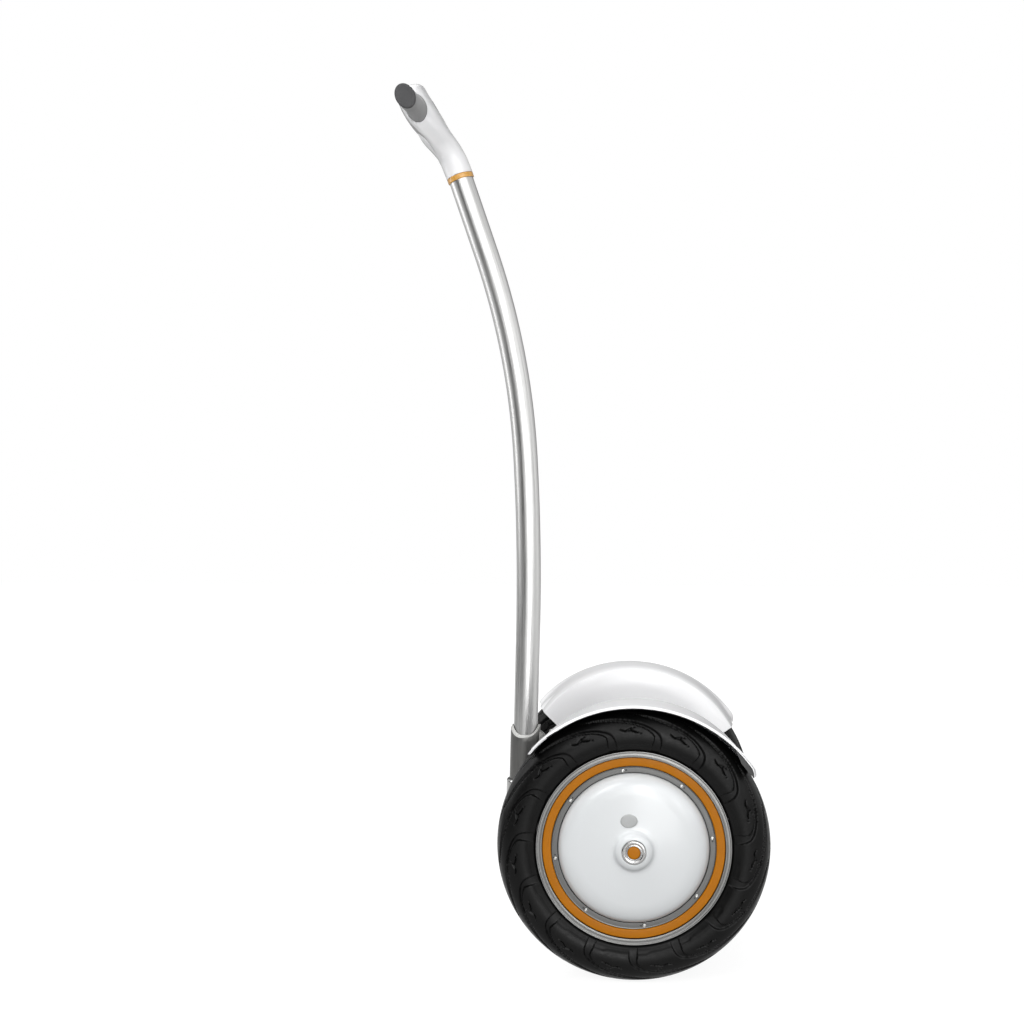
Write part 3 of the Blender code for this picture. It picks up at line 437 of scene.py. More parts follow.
def dark_lens():
    f = Finish("dark_lens", (0.01, 0.01, 0.012), 0.07, Coat_Weight=0.6, Coat_Roughness=0.03)
    f.roughness(f.noise(120), 0.05, 0.11)
    return f.material


def make_looks():
    """Every finish, as {name: (slot of the record, material)}."""
    by_slot = {
        "white_plastic": {
            "white": white_plastic("white_gloss_plastic"),
            "cover": white_plastic("white_cover_plastic", (0.715, 0.735, 0.745))},
        "tyre_rubber": {"tyre": tyre_rubber()},
        "brushed_aluminium": {
            "rim": turned_metal("turned_aluminium", (0.18, 0.18, 0.176)),
            "clamp": turned_metal("clamp_ring_metal", (0.1, 0.1, 0.098)),
            "stem": brushed_metal("stem_aluminium", (0.5, 0.5, 0.495), (900, 900, 9), (0.24, 0.4),
                                  curve=stem_curve()),
            "sleeve": brushed_metal("sleeve_aluminium", (0.145, 0.144, 0.14), (700, 700, 14), (0.34, 0.5)),
            # Lighter metal on the sleeve's upward rim chamfer: a painted highlight
            "sleeve_rim": brushed_metal("rim_painted_highlight", (0.42, 0.42, 0.41), (700, 700, 700), (0.5, 0.64)),
            "cast": brushed_metal("cast_aluminium", (0.34, 0.34, 0.335), (160, 160, 160), (0.42, 0.58),
                                  0.0001)},
        "orange_trim": {
            "orange": painted("orange_gloss", (0.46, 0.155, 0.001), 0.34, 0.0, 0.14),
            "ring_orange": painted("ring_orange", (0.66, 0.33, 0.05))},
        "bright_chrome": {"chrome": turned_metal("chrome", (0.36, 0.36, 0.355), (0.08, 0.16), 500)},
        "steel": {
            "steel": brushed_metal("zinc_steel", (0.42, 0.42, 0.42), (300, 300, 300), (0.28, 0.42)),
            "screw": brushed_metal("screw_steel", (0.4, 0.4, 0.39), (500, 500, 500), (0.18, 0.32))},
        "badge_grey": {"badge": moulded("grey_badge", (0.42, 0.43, 0.43), (0.3, 0.42))},
        "grip_rubber": {
            "grip": soft_rubber("grip_rubber", (0.43, 0.43, 0.432)),
            "grip_end": soft_rubber("grip_end_rubber", (0.054, 0.054, 0.056))},
        "mat_rubber": {"mat": soft_rubber("mat_rubber", (0.022, 0.022, 0.023), 1100, (0.6, 0.82))},
        "black_plastic": {
            "black": moulded("black_plastic", (0.02, 0.02, 0.021)),
            # Near-black for the fender's inside faces, and for the strip of painted shade under the lip
            "fender_inside_and_shade_strip": moulded("black_inside_and_shade_strip", (0.016, 0.016, 0.016)),
            # Near-black discs beside the cover screws: painted shadow
            "screw_shadow_mark": moulded("screw_painted_shadow", (0.012, 0.012, 0.012), (0.7, 0.9))},
        "motor_iron": {"iron": moulded("motor_iron", (0.1, 0.07, 0.05))},
        "battery_wrap": {"battery": moulded("battery_wrap", (0.03, 0.06, 0.14))},
        "bronze": {"bronze": brushed_metal("bush_bronze", (0.4, 0.26, 0.1), (200, 200, 200))},
        "red_lens": {"red_lens": red_lens()},
        "dark_lens": {"dark_lens": dark_lens()},
    }
    return {look: (slot, made) for slot, looks in by_slot.items() for look, made in looks.items()}


# Wheels


def tyre_shape():
    """Tyre with its directional tread carved in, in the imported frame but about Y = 0."""
    half = smooth_curve([(201.5, 0.0), (201, 8), (199, 16), (195, 24), (188.6, 30.8), (180, 35.6), (171, 38),
                         (162, 37.8), (155, 35.8), (149.5, 32.3), (146, 29), (144.6, 26.5)], 66)
    radius, side = half[:, 0], half[:, 1]
    step = np.gradient(half, axis=0)
    step /= np.linalg.norm(step, axis=1, keepdims=True)
    inward = np.stack([-np.abs(step[:, 1]), -np.abs(step[:, 0])], axis=1)
    inward[:, 1] *= np.sign(side + 1e-9)
    along = np.concatenate([[0], np.cumsum(np.linalg.norm(np.diff(half, axis=0), axis=1))])
    pitch = tau / PITCHES
    columns = 80
    theta = np.arange(columns) * pitch / columns
    depth = tread_depth(theta, radius, along, pitch)
    angles = (np.arange(columns * PITCHES) * pitch / columns) + radians(NOTCH_DEG)
    depth = np.tile(depth, (PITCHES, 1))
    r = radius[None, :] + inward[None, :, 0] * depth
    d = side[None, :] + inward[None, :, 1] * depth
    # Both halves of the tread, mirrored about the middle plane, then the bead and the inside
    r_all = np.concatenate([r[:, ::-1], r[:, 1:]], axis=1)
    d_all = np.concatenate([-d[:, ::-1], d[:, 1:]], axis=1)
    inside = np.array([(144.6, 22.5), (165, 25), (188, 20), (188, -20), (165, -25), (144.6, -22.5)])
    r_all = np.concatenate([r_all, np.tile(inside[:, 0], (len(angles), 1))], axis=1) / 1000
    d_all = np.concatenate([d_all, np.tile(inside[:, 1], (len(angles), 1))], axis=1) / 1000
    x = AXLE_X + r_all * np.sin(angles)[:, None]
    z = WHEEL_R + r_all * np.cos(angles)[:, None]
    verts, faces = grid(np.stack([x, d_all, z], axis=2).tolist(), close_rows=True)
    # Turned over, so that the quads face outward
    return verts, [face[:1] + face[:0:-1] for face in faces]


def tread_depth(theta, radius, along, pitch):
    """Depth of the tread in millimetres over one pitch, for each angle and point of the profile."""
    x_grid = theta[:, None]
    r_grid = radius[None, :]
    s_grid = along[None, :]

    def to_groove(path, widths):
        """Distance beyond the groove's edge, for a path of (degrees, radius) and its half widths."""
        path = smooth_curve(path, 60)
        half_width = np.interp(np.linspace(0, 1, 60), np.linspace(0, 1, len(widths)), widths)
        s_path = np.interp(-path[:, 1], -radius, along)
        best = np.full(np.broadcast(x_grid, r_grid).shape, 1e3)
        for shift in range(-1, 3):
            for (deg, r), s, w in zip(path, s_path, half_width):
                dx = (x_grid - radians(deg) - shift * pitch) * (r_grid + r) / 2
                best = np.minimum(best, np.hypot(dx, s_grid - s) - w)
        return best

    def wall(gap, width=0.9):
        t = np.clip(0.5 - gap / width, 0, 1)
        return t * t * (3 - 2 * t)

    sweep = to_groove([(0.0, 150), (0.2, 158), (0.0, 165), (-0.8, 171), (-3.4, 177), (-7.2, 182),
                       (-12, 186), (-18, 189.5), (-25, 192.8), (-32, 195.6), (-37, 197.6)],
                      [6.6, 6.4, 5.6, 4, 2.7, 2.3, 2.2, 2.1, 2, 1.7, 0.6])
    flame = to_groove([(5, 178.5), (7.5, 175.2), (10, 176.4), (12.5, 173.6), (15.5, 171.6)],
                      [0.3, 0.9, 1.0, 0.9, 0.3])
    barb = to_groove([(8.6, 176.2), (10.8, 179.3), (12.6, 180.6)], [0.8, 0.7, 0.2])
    upper = to_groove([(2, 192.6), (4, 189.6), (7, 190.2), (9.5, 187), (11.8, 186.4)],
                      [0.3, 0.9, 0.9, 0.8, 0.3])
    centre = to_groove([(4, 199.95), (9, 199.3), (14, 198.6)], [0.3, 0.9, 0.4])
    # The blocks' inner edge steps up and down once in each pitch
    turn = np.degrees(theta)[:, None]
    edge = 154.2 + 2.4 * (1 / (1 + np.exp(-(turn - 15.5) * 2.2)))
    rim_side = np.clip((edge - r_grid) / 1.6 + 0.5, 0, 1)
    rim_side = rim_side * rim_side * (3 - 2 * rim_side)
    outer_share = np.clip((r_grid - 186) / 8, 0, 1)
    depth = 4.6 * wall(sweep, 1.3 + 1.1 * outer_share)
    for groove, deep in ((flame, 2.6), (barb, 2.4), (upper, 2.6), (centre, 1.8)):
        depth = np.maximum(depth, deep * wall(groove))
    fade = np.clip((r_grid - 146.5) / 3, 0, 1)
    return np.maximum(depth * fade, 2 * rim_side * fade)


def make_tyres():
    verts, faces = tyre_shape()
    mesh = bpy.data.meshes.new("tyre")
    mesh.from_pydata(verts, [], faces)
    mesh.update()
    shade(mesh, 60)
    for side, sign in SIDES:
        piece = new_object(f"{side}_tread_tyre", mesh)
        piece.location.y = sign * HALF_TRACK
        dress(piece, "tyre", f"{side}_wheel", f"{side}_tyre")


def screw_shape(centre, axis, radius, height):
    """Pan head with a round socket in it."""
    profile = [(0, -0.0006), (radius, -0.0006), (radius, height * 0.35), (radius * 0.86, height * 0.8),
               (radius * 0.6, height), (radius * 0.44, height), (radius * 0.4, height * 0.2),
               (0, height * 0.2)]
    return lathe(fillet(profile, radius * 0.12, 2, closed=False), centre, axis, 20)


def on_wheel(sign, radius, degrees, outboard):
    """Point on a circle about the axle, at an angle from the top."""
    angle = radians(degrees)
    return radius * sin(angle), sign * (HALF_TRACK + outboard), AXLE_Z + radius * cos(angle)


# Pieces turned about the axle: name, finish, CAD node, corner radius in millimetres, steps, and a
# closed profile of (radius, distance outboard of the wheel's middle) in millimetres
TURNED = (
    ("turned_rim", "rim", "rim", 0.35, 180,
     [(144, -29.5), (144, 28.6), (143.2, 30), (141.9, 30), (141.2, 28.9), (137.8, 28.9), (137.4, 29.5),
      (136.7, 29.5), (136.3, 28.9), (135.2, 28.9), (134.4, 28.2), (134.4, 21), (20.3, 21), (20.3, 6),
      (26, 6), (26, 16), (125, 16), (125, -23.7), (131, -23.7), (131, -29.5)]),
    ("orange_trim", "orange", "trim_ring", 0.4, 180,
     [(133.9, 22), (133.9, 25.6), (133, 26.3), (122.2, 25.6), (121.1, 24.6), (121.1, 22)]),
    ("clamp_ring_plate", "clamp", "cover_clamp_ring", 0.3, 180,
     [(120.7, 21.4), (120.7, 24.8), (119.9, 25.6), (118.9, 25.2), (112, 25.2), (111.1, 24.4), (111.1, 21.4)]),
    ("domed_cover", "cover", "wheel_cover", 4, 180,
     [(110.6, 21.3), (110.6, 25), (109.4, 29.6), (106, 34.6), (100.4, 38.8), (93, 41.6), (84, 43.2),
      (60, 44), (35.5, 44.5), (30.6, 45.1), (28.4, 47.4), (26.4, 51.6), (23.2, 54.2), (19.4, 55.4),
      (17.9, 55.2), (17.9, 48), (26, 41.6), (84, 40), (102.5, 32), (107.4, 21.3)]),
    ("hub_bezel", "chrome", "hub_ring", 0.35, 96,
     [(17.6, 48.3), (17.6, 56.4), (16.5, 57.4), (13.6, 57.4), (12.6, 56.6), (11.4, 56.6), (11, 57.2),
      (9.8, 57.2), (9.5, 56.6), (9.5, 48.3)]),
    ("axle_button", "orange", "axle_cap", 0.4, 64,
     [(0, 50), (9.2, 50), (9.2, 57.4), (8.2, 58.2), (0, 58.4)]),
    ("back_cover", "cast", "motor_back_cover", 1.2, 144,
     [(130.6, -24), (130.6, -28), (128, -28.8), (96, -29.4), (92, -28), (66, -28.4),
      (60, -30.6), (27, -31), (20.4, -31), (20.4, -20.5), (26, -20.5), (28, -25.5)]),
)
BADGE_AT = (-0.0072, 0.2452, 0.2441)
BADGE_HALF = (0.0124, 0.0098)
BADGE_TILT_DEG = 4


def make_wheel(side, sign):
    body = f"{side}_wheel"
    for name, look, node, corner, steps, profile in TURNED:
        add(f"{side}_{name}", wheel_lathe(profile, sign, corner, steps), look, body, f"{side}_{node}")

    # Cover screws, each with a small dark disc beside it that paints the screw's shadow, and the back cover's
    # screws
    screws, holes, back = [], [], []
    for i in range(SCREWS):
        degrees = 360 / SCREWS * i - 8
        screws.append(screw_shape(on_wheel(sign, SCREW_CIRCLE_R, degrees, 0.0252), (0, sign, 0),
                                  0.0031, 0.0022))
        # Thin near-black disc beside the screw: painted shadow
        holes.append(lathe([(0, 0), (0.0012, 0), (0.0012, 0.00035), (0, 0.00035)],
                           on_wheel(sign, SCREW_CIRCLE_R, degrees + 2.4, 0.025), (0, sign, 0), 16))
        back.append(screw_shape(on_wheel(sign, BACK_SCREW_CIRCLE_R, degrees + 18, -0.0292), (0, -sign, 0),
                                0.0032, 0.0018))
    add(f"{side}_cover_screws", merged(*screws), "screw", body)
    add(f"{side}_cover_screw_shadows", merged(*holes), "screw_shadow_mark", body)
    add(f"{side}_back_screws", merged(*back), "screw", body)

    # Oval badge with a soft edge
    x, y, z = BADGE_AT
    tilt = radians(BADGE_TILT_DEG)
    rows = []
    for scale, lift in ((1.0, -0.0008), (1.0, 0.0006), (0.955, 0.001), (0.8, 0.0011), (0.4, 0.00115)):
        row = []
        for j in range(64):
            a = BADGE_HALF[0] * scale * cos(tau * j / 64)
            b = BADGE_HALF[1] * scale * sin(tau * j / 64)
            row.append((x + a * cos(tilt) - b * sin(tilt), sign * (y + lift),
                        z + a * sin(tilt) + b * cos(tilt)))
        rows.append(row)
    add(f"{side}_oval_badge", grid(rows), "badge", body, f"{side}_badge")


# Fenders

FENDER_WALL_DEG = (-46.5, 55.7)
FENDER_LIP_DEG = (-47.8, 57.9)
FENDER_LIP_R = 0.2128
# How much wider than a circle about the axle the lip swings in front and behind
FENDER_LIP_FLAT = (-0.007, 0.0042)
# The lip curls in towards the tyre over its last stretch, as (drop, length)
FENDER_REAR_CURL = (0.0062, 0.0155)
FENDER_FRONT_CURL = (0.0012, 0.02)
FENDER_CLEARANCE = 0.005
FENDER_ARCH = (0.1862, 0.0048, 0.2254)
FENDER_WALL_Y = 0.154
FENDER_LIP_Y = 0.247
FENDER_FOOT_R = 0.155
FENDER_SKIN = 0.0025


def arch_radius(angle):
    """Distance from the axle to the edge circle of the fender's wall, at an angle from vertical."""
    radius, dx, centre_z = FENDER_ARCH
    dz = centre_z - AXLE_Z
    along = dx * sin(angle) + dz * cos(angle)
    return along + sqrt(along ** 2 - dx ** 2 - dz ** 2 + radius ** 2)


def lip_radius(angle):
    """Distance from the axle to the lip's top, which swings a little wider than the tyre behind it."""
    front, rear = (radians(end) for end in FENDER_LIP_DEG)
    radius = FENDER_LIP_R + FENDER_LIP_FLAT[angle > 0] * (1 - cos(angle))
    for (drop, length), gap in ((FENDER_FRONT_CURL, angle - front), (FENDER_REAR_CURL, rear - angle)):
        radius -= drop * max(0.0, 1 - max(gap, 0.0) * FENDER_LIP_R / length) ** 2
    return radius


def fender_ends(y):
    """Angles of the fender's front and rear end at a distance from the middle plane."""
    outward = (y - FENDER_WALL_Y) / (FENDER_LIP_Y - FENDER_WALL_Y)
    return [radians(wall + (lip - wall) * outward) for wall, lip in zip(FENDER_WALL_DEG, FENDER_LIP_DEG)]


def tyre_top(across):
    """Lowest radius that keeps the fender's skin clear of the tyre."""
    return np.interp(across, (0.0, 0.008, 0.016, 0.024, 0.0308, 0.038, 0.039),
                     (0.2015, 0.201, 0.199, 0.195, 0.1886, 0.171, 0.0)) + FENDER_CLEARANCE


def fender_shape(sign):
    """Open skin of one fender, with a rolled lip outside and a wall beside the deck."""
    # distance outboard, share of the lip's height against the wall's, and height above both
    section = [(FENDER_LIP_Y, 1, -0.0034), (FENDER_LIP_Y, 1, -0.0016), (FENDER_LIP_Y - 0.0006, 1, -0.0004),
               (FENDER_LIP_Y - 0.002, 1, 0), (0.239, 0.93, 0.0003), (0.216, 0.62, 0.001),
               (0.182, 0.3, 0.0012), (0.165, 0.06, 0.0002), (0.158, 0, -0.0016), (0.1548, 0, -0.0048),
               (FENDER_WALL_Y, 0, -0.01), (FENDER_WALL_Y, 0, -0.023), (FENDER_WALL_Y, 0, -0.036)]
    curve = smooth_curve(section, 48)
    corner = 0.0035
    near = [0.0, 0.0015, 0.003, 0.0045, 0.0065, 0.009, 0.012]
    middle = [0.012 + step * 0.0032 for step in range(1, 56)]
    half = [share / 0.3918 for share in near + middle]
    shares = half + [1 - share for share in reversed(half)]
    rows = []
    for share in shares:
        row = []
        for y, outer, rise in curve:
            y = min(max(y, FENDER_WALL_Y), FENDER_LIP_Y)
            front, rear = fender_ends(y)
            # The lip's two ends are rounded off in plan
            near_end = min(share, 1 - share) * (rear - front) * FENDER_LIP_R
            pull = corner - sqrt(max(0.0, corner ** 2 - max(0.0, corner - near_end) ** 2))
            edge_y = FENDER_LIP_Y - pull
            angle = front + (rear - front) * share
            end_gap = max(0.0, 1 - near_end / 0.06)
            deeper = 1.0 + 0.4 * end_gap if share > 0.5 else 1.0 - 0.6 * min(1.0, 2 * end_gap)
            # Inboard of the lip the crown sags towards both ends
            sag = min(1.0, max(0.0, (abs(angle) - radians(20)) / radians(30)))
            outer = outer * (1 - 0.5 * sag * min(1.0, 5 * (1 - outer)))
            r = lip_radius(angle) * outer + arch_radius(angle) * (1 - outer)
            r += rise * (deeper if outer > 0.98 else 1)
            r = max(r, tyre_top(abs(y - HALF_TRACK)))
            row.append(Vector((r * sin(angle), sign * min(y, edge_y), AXLE_Z + r * cos(angle))))
        front, rear = fender_ends(FENDER_WALL_Y)
        angle = front + (rear - front) * share
        row.append(Vector((FENDER_FOOT_R * sin(angle), sign * FENDER_WALL_Y,
                           AXLE_Z + FENDER_FOOT_R * cos(angle))))
        foot_front, foot_rear = FENDER_FOOT_R * sin(front), FENDER_FOOT_R * sin(rear)
        row.append(Vector((foot_front + (foot_rear - foot_front) * share, sign * FENDER_WALL_Y, 0.16)))
        rows.append(row)
    return grid(rows, close_columns=False)


# Dark strip under the last stretch of the lip, which paints the shade on the lip's underside there
SHADE_STRIP_START_DEG = 43
SHADE_STRIP_STEPS = 15
SHADE_STRIP_DEPTH = 0.0088
MOTOR_HOLE_R = 0.024


def make_fender(side, sign):
    piece = mesh_object(f"{side}_fender_skin", fender_shape(sign), 45)
    mesh = piece.data
    top = max(mesh.polygons, key=lambda face: face.center.z)
    if top.normal.z < 0:
        mesh.flip_normals()
    solid = piece.modifiers.new("skin", "SOLIDIFY")
    solid.thickness = FENDER_SKIN
    solid.offset = -1.0
    solid.use_even_offset = True
    edge = piece.modifiers.new("edge", "BEVEL")
    edge.width = 0.0009
    edge.segments = 3
    edge.limit_method = "ANGLE"
    edge.angle_limit = radians(55)
    apply_modifiers(piece)
    combine(piece, [bore_shape((0, sign * FENDER_WALL_Y, AXLE_Z), (0, 1, 0), MOTOR_HOLE_R, 0.02)], 45)
    dress(piece, "white", "chassis", f"{side}_fender")
    # The faces towards the tyre, and the wall's side facing the wheel, take a near-black finish
    piece.data.materials.append(LOOKS["fender_inside_and_shade_strip"][1])
    for face in piece.data.polygons:
        x, y, z = face.center
        arm = Vector((x - AXLE_X, 0, z - WHEEL_R)).normalized()
        wheel_side = abs(y) < FENDER_WALL_Y + 0.003 and face.normal.y * sign > 0.5
        if wheel_side or face.normal.dot(arm) < -0.5:
            face.material_index = 1
    # Strip of painted shade under the lip's rear end
    shade_strip = []
    for step in range(SHADE_STRIP_STEPS):
        angle = radians(SHADE_STRIP_START_DEG + step)
        top = lip_radius(angle) - FENDER_SKIN + 0.0006
        taper = min(1.0, step / 7) * (1 - 0.6 * (max(0, step - 11) / 3) ** 2)
        foot = top - 0.0014 - SHADE_STRIP_DEPTH * taper
        shade_strip.append([(r * sin(angle), sign * (FENDER_LIP_Y - inset), AXLE_Z + r * cos(angle))
                       for inset, r in ((0.004, top), (0.0014, top), (0.0014, foot), (0.004, foot))])
    add(f"{side}_lip_shade_strip", grid(shade_strip), "fender_inside_and_shade_strip", "chassis")
    # Bolts that hold the wall to the body's side
    bolts = [screw_shape((x, sign * (FENDER_WALL_Y + 0.0026), z), (0, sign, 0), 0.0042, 0.0024)
             for x, z in ((-0.085, 0.178), (-0.04, 0.172), (0.04, 0.172), (0.085, 0.178))]
    add(f"{side}_fender_bolts", merged(*bolts), "screw", "chassis")


# Body between the wheels


def body_ring(z, inset):
    """Plan outline of the body at a height, drawn in from its full size by an inset."""
    return rounded_rectangle(BODY_FRONT + inset, BODY_REAR - inset, BODY_HALF_WIDTH - inset,
                             0.035 - inset * 0.5, z, 12)


def bore_shape(centre, axis, radius, reach):
    return lathe([(0, -reach), (radius, -reach), (radius, reach), (0, reach)], centre, axis, 48)


def mat_outline(sign, grow=0.0):
    """Plan outline of a foot mat, with a notch beside the console."""
    corners = ((0.15, 0.012), (0.15, 0.143), (-0.112, 0.143), (-0.112, 0.052), (-0.052, 0.052),
               (-0.052, 0.012))
    outward = ((1, -1), (1, 1), (-1, 1), (-1, -1), (-1, -1), (-1, -1))
    return [(x + grow * gx, sign * (y + grow * gy)) for (x, y), (gx, gy) in zip(corners, outward)]


def plate_shape(levels):
    """Stack of one plan outline, each level as (z, outline)."""
    return grid([[(x, y, z) for x, y in points] for z, points in levels])


def make_body():
    wall = 0.003
    seam = 0.0008
    # Holes for the two axles and the steering shaft, half in each shell
    holes = [bore_shape((0, sign * BODY_HALF_WIDTH, AXLE_Z), (0, 1, 0), 0.014, 0.02) for sign in (-1, 1)]
    holes.append(bore_shape((BODY_FRONT, 0, PIVOT_Z), (1, 0, 0), 0.013, 0.02))

    outer = [(BODY_FLOOR_Z, 0.03), (0.1008, 0.0265), (0.103, 0.0215), (0.107, 0.0145), (0.112, 0.0082),
             (0.118, 0.0036), (0.125, 0.0008), (0.131, 0.0), (PARTING_Z - 0.0022, 0.0),
             (PARTING_Z - 0.001, 0.0004), (PARTING_Z - 0.0004, seam)]
    inner = [(PARTING_Z - 0.0004, wall), (0.131, wall), (0.119, wall + 0.004), (0.108, wall + 0.016),
             (BODY_FLOOR_Z + wall, 0.034)]
    lower = mesh_object("lower_body_shell", grid([body_ring(z, inset) for z, inset in outer + inner]))
    # The rear panel's openings for the light, the charging inlet and the button
    openings = [box_shape((BODY_REAR - 0.012, y - half, REAR_PANEL_Z - rise),
                          (BODY_REAR + 0.01, y + half, REAR_PANEL_Z + rise), bevel, 3)
                for y, half, rise, bevel in ((0, 0.0455, 0.0075, 0.0015), (CHARGE_Y, 0.0118, 0.0098, 0.0012))]
    openings.append(bore_shape((BODY_REAR, BUTTON_Y, REAR_PANEL_Z), (1, 0, 0), 0.0087, 0.012))
    combine(lower, holes + openings)
    dress(lower, "white", "chassis", "lower_shell")

    rows = [(0.219, wall), (PARTING_Z + 0.0004, wall), (PARTING_Z + 0.0004, seam),
            (PARTING_Z + 0.001, 0.0004), (PARTING_Z + 0.0022, 0), (DECK_Z - 0.007, 0),
            (DECK_Z - 0.004, 0.0006), (DECK_Z - 0.0018, 0.002), (DECK_Z - 0.0005, 0.0044), (DECK_Z, 0.0075)]
    upper = mesh_object("deck_shell", grid([body_ring(z, inset) for z, inset in rows]))
    pockets = [fillet(mat_outline(sign, 0.0012), 0.006, 5) for sign in (-1, 1)]
    pockets = [plate_shape([(0.2222, pocket), (0.24, pocket)]) for pocket in pockets]
    # Shallow groove along the middle, between the mats
    groove = box_shape((-0.04, -0.0012, DECK_Z - 0.001), (0.146, 0.0012, DECK_Z + 0.01), 0.0005)
    combine(upper, [*holes, *pockets, groove])
    dress(upper, "white", "chassis", "upper_shell")

    # Screws in the deck's rim, and under the floor
    deck = [screw_shape((x, y, DECK_Z - 0.0002), (0, 0, 1), 0.0028, 0.0012)
            for x, y in ((0.1555, 0.0), (0.1555, 0.1), (0.1555, -0.1), (-0.121, 0.11), (-0.121, -0.11))]
    floor = [screw_shape((x, y, BODY_FLOOR_Z + 0.0003), (0, 0, -1), 0.0036, 0.0018)
             for x in (-0.062, 0.02, 0.105) for y in (-0.085, 0.085)]
    add("body_screws", merged(*deck, *floor), "screw", "chassis")


# Each level of a mat as (height, growth of its outline, corner radius), and its ribs
MAT_LEVELS = ((0.0, -0.0008, 0.006), (0.0008, 0.0, 0.006), (0.008, 0.0, 0.006), (0.0092, -0.0006, 0.0058),
              (0.0098, -0.0022, 0.005), (0.0098, -0.006, 0.004), (0.0086, -0.007, 0.0038))
RIB_FIRST_X = 0.1385
RIB_PITCH = 0.0078
RIB_HALF = 0.0021


def make_mats():
    for side, sign in SIDES:
        shapes = [plate_shape([(MAT_BASE_Z + rise, fillet(mat_outline(sign, grow), corner, 6))
                               for rise, grow, corner in MAT_LEVELS])]
        # Raised ribs across the foot, shorter beside the console
        for i in range(24):
            x = RIB_FIRST_X - i * RIB_PITCH
            low, high = sorted((sign * (0.0215 if x > -0.04 else 0.0615), sign * 0.1335))
            shapes.append(box_shape((x - RIB_HALF, low, MAT_BASE_Z + 0.008),
                                    (x + RIB_HALF, high, MAT_BASE_Z + 0.0099), 0.0008, 2))
        add(f"{side}_ribbed_mat", merged(*shapes), "mat", f"{side}_mat", f"{side}_foot_mat")


# Levels of the console as (height, front, rear, half width, corner radius), outside and inside
CONSOLE_OUTSIDE = (
    (DECK_Z + 0.0003, -0.126, -0.056, 0.046, 0.012), (0.2315, -0.1262, -0.0562, 0.0459, 0.0122),
    (0.26, -0.128, -0.062, 0.044, 0.012), (0.29, -0.1295, -0.0695, 0.0412, 0.0116),
    (0.3103, -0.131, -0.076, 0.038, 0.0112), (0.3193, -0.1312, -0.0787, 0.0367, 0.0102),
    (0.3241, -0.1308, -0.0804, 0.0357, 0.0092), (0.3269, -0.1294, -0.0826, 0.034, 0.008),
    (0.3283, -0.1268, -0.0862, 0.031, 0.0062), (0.3285, -0.124, -0.09, 0.028, 0.005))
CONSOLE_INSIDE = (
    (0.3255, -0.1255, -0.0865, 0.0305, 0.005), (0.3073, -0.128, -0.079, 0.035, 0.0085),
    (0.26, -0.125, -0.065, 0.041, 0.009), (DECK_Z + 0.0003, -0.123, -0.059, 0.043, 0.009))
STUD_PROFILE = ((0, 0), (0.0038, 0), (0.0038, 0.0046), (0.0035, 0.0062), (0.0027, 0.0073), (0.0014, 0.0079),
                (0, 0.0081))


def make_console():
    rings = [rounded_rectangle(front, rear, half_width, corner, z, 8)
             for z, front, rear, half_width, corner in CONSOLE_OUTSIDE + CONSOLE_INSIDE]
    piece = mesh_object("front_tower", grid(rings, close_rows=True, caps=False))
    # Three vent slots in its rear face
    combine(piece, [box_shape((-0.07, -0.02, z - 0.0016), (-0.056, 0.02, z + 0.0016), 0.001, 2)
                    for z in (0.262, 0.272, 0.282)])
    dress(piece, "white", "chassis", "front_console")
    stud = fillet(STUD_PROFILE, 0.0004, 2, closed=False)
    add("console_stud", lathe(stud, (-0.127, 0, 0.328), (0, 0, 1), 48), "screw", "chassis")


def panel_box(x_low, x_high, y, half, down, up, bevel, segments):
    """Rounded box about the rear panel, with X counted from the body's rear face."""
    return box_shape((BODY_REAR + x_low, y - half, REAR_PANEL_Z - down),
                     (BODY_REAR + x_high, y + half, REAR_PANEL_Z + up), bevel, segments)


def make_rear_panel():
    light = panel_box(-0.002, 0.0015, 0, 0.045, 0.007, 0.007, 0.0014, 4)
    add("rear_light_lens", light, "red_lens", "chassis", "rear_light")
    socket = mesh_object("charging_inlet",
                         panel_box(-0.016, 0.0005, CHARGE_Y, 0.0115, 0.0095, 0.0095, 0.0005, 2))
    combine(socket, [panel_box(-0.012, 0.01, CHARGE_Y, 0.008, 0.006, 0.006, 0.0012, 3)])
    dress(socket, "black", "chassis", "charge_socket")
    pins = [lathe([(0, -0.001), (0.0009, -0.001), (0.0009, 0.0062), (0.0005, 0.0068), (0, 0.0068)],
                  (BODY_REAR - 0.012, y, REAR_PANEL_Z), (1, 0, 0), 16)
            for y in (CHARGE_Y - 0.0042, CHARGE_Y, CHARGE_Y + 0.0042)]
    add("charging_pins", merged(*pins), "screw", "chassis")
    cap = panel_box(0.001, 0.0035, CHARGE_Y, 0.014, 0.012, 0.013, 0.0009, 4)
    add("inlet_cap", cap, "black", "charge_cap", "charge_cap")
    button = [(0, -0.0015), (0.008, -0.0015), (0.008, 0.0014), (0.0074, 0.0022), (0.0062, 0.0025),
              (0.0048, 0.0022), (0.003, 0.0019), (0, 0.0018)]
    shape = lathe(fillet(button, 0.0003, 2, closed=False), (BODY_REAR, BUTTON_Y, REAR_PANEL_Z), (1, 0, 0), 64)
    add("power_key", shape, "black", "power_button", "power_button")


# Stem

STEM_R = 0.019
STEM_WALL = 0.002
STEM_START = (-0.1711, 0.205)
STEM_LEAN_DEG = -1.4
# Runs of the stem as (length, turn in degrees)
STEM_RUNS = ((0.284, 0.0), (0.278, 4.5), (0.327, 15.8), (0.126, 0.0))
STEM_LENGTH = sum(length for length, turn in STEM_RUNS)
RING_AT = 1.0115
RING_SADDLE = 0.0009
SLEEVE_OUTER_R = 0.0235
SLEEVE_INNER_R = 0.0195
SLEEVE_BOTTOM_Z = 0.22
SLEEVE_SIDE_Z = 0.3294
COLLAR_R = 0.028
COLLAR_TOP_Z = 0.2575


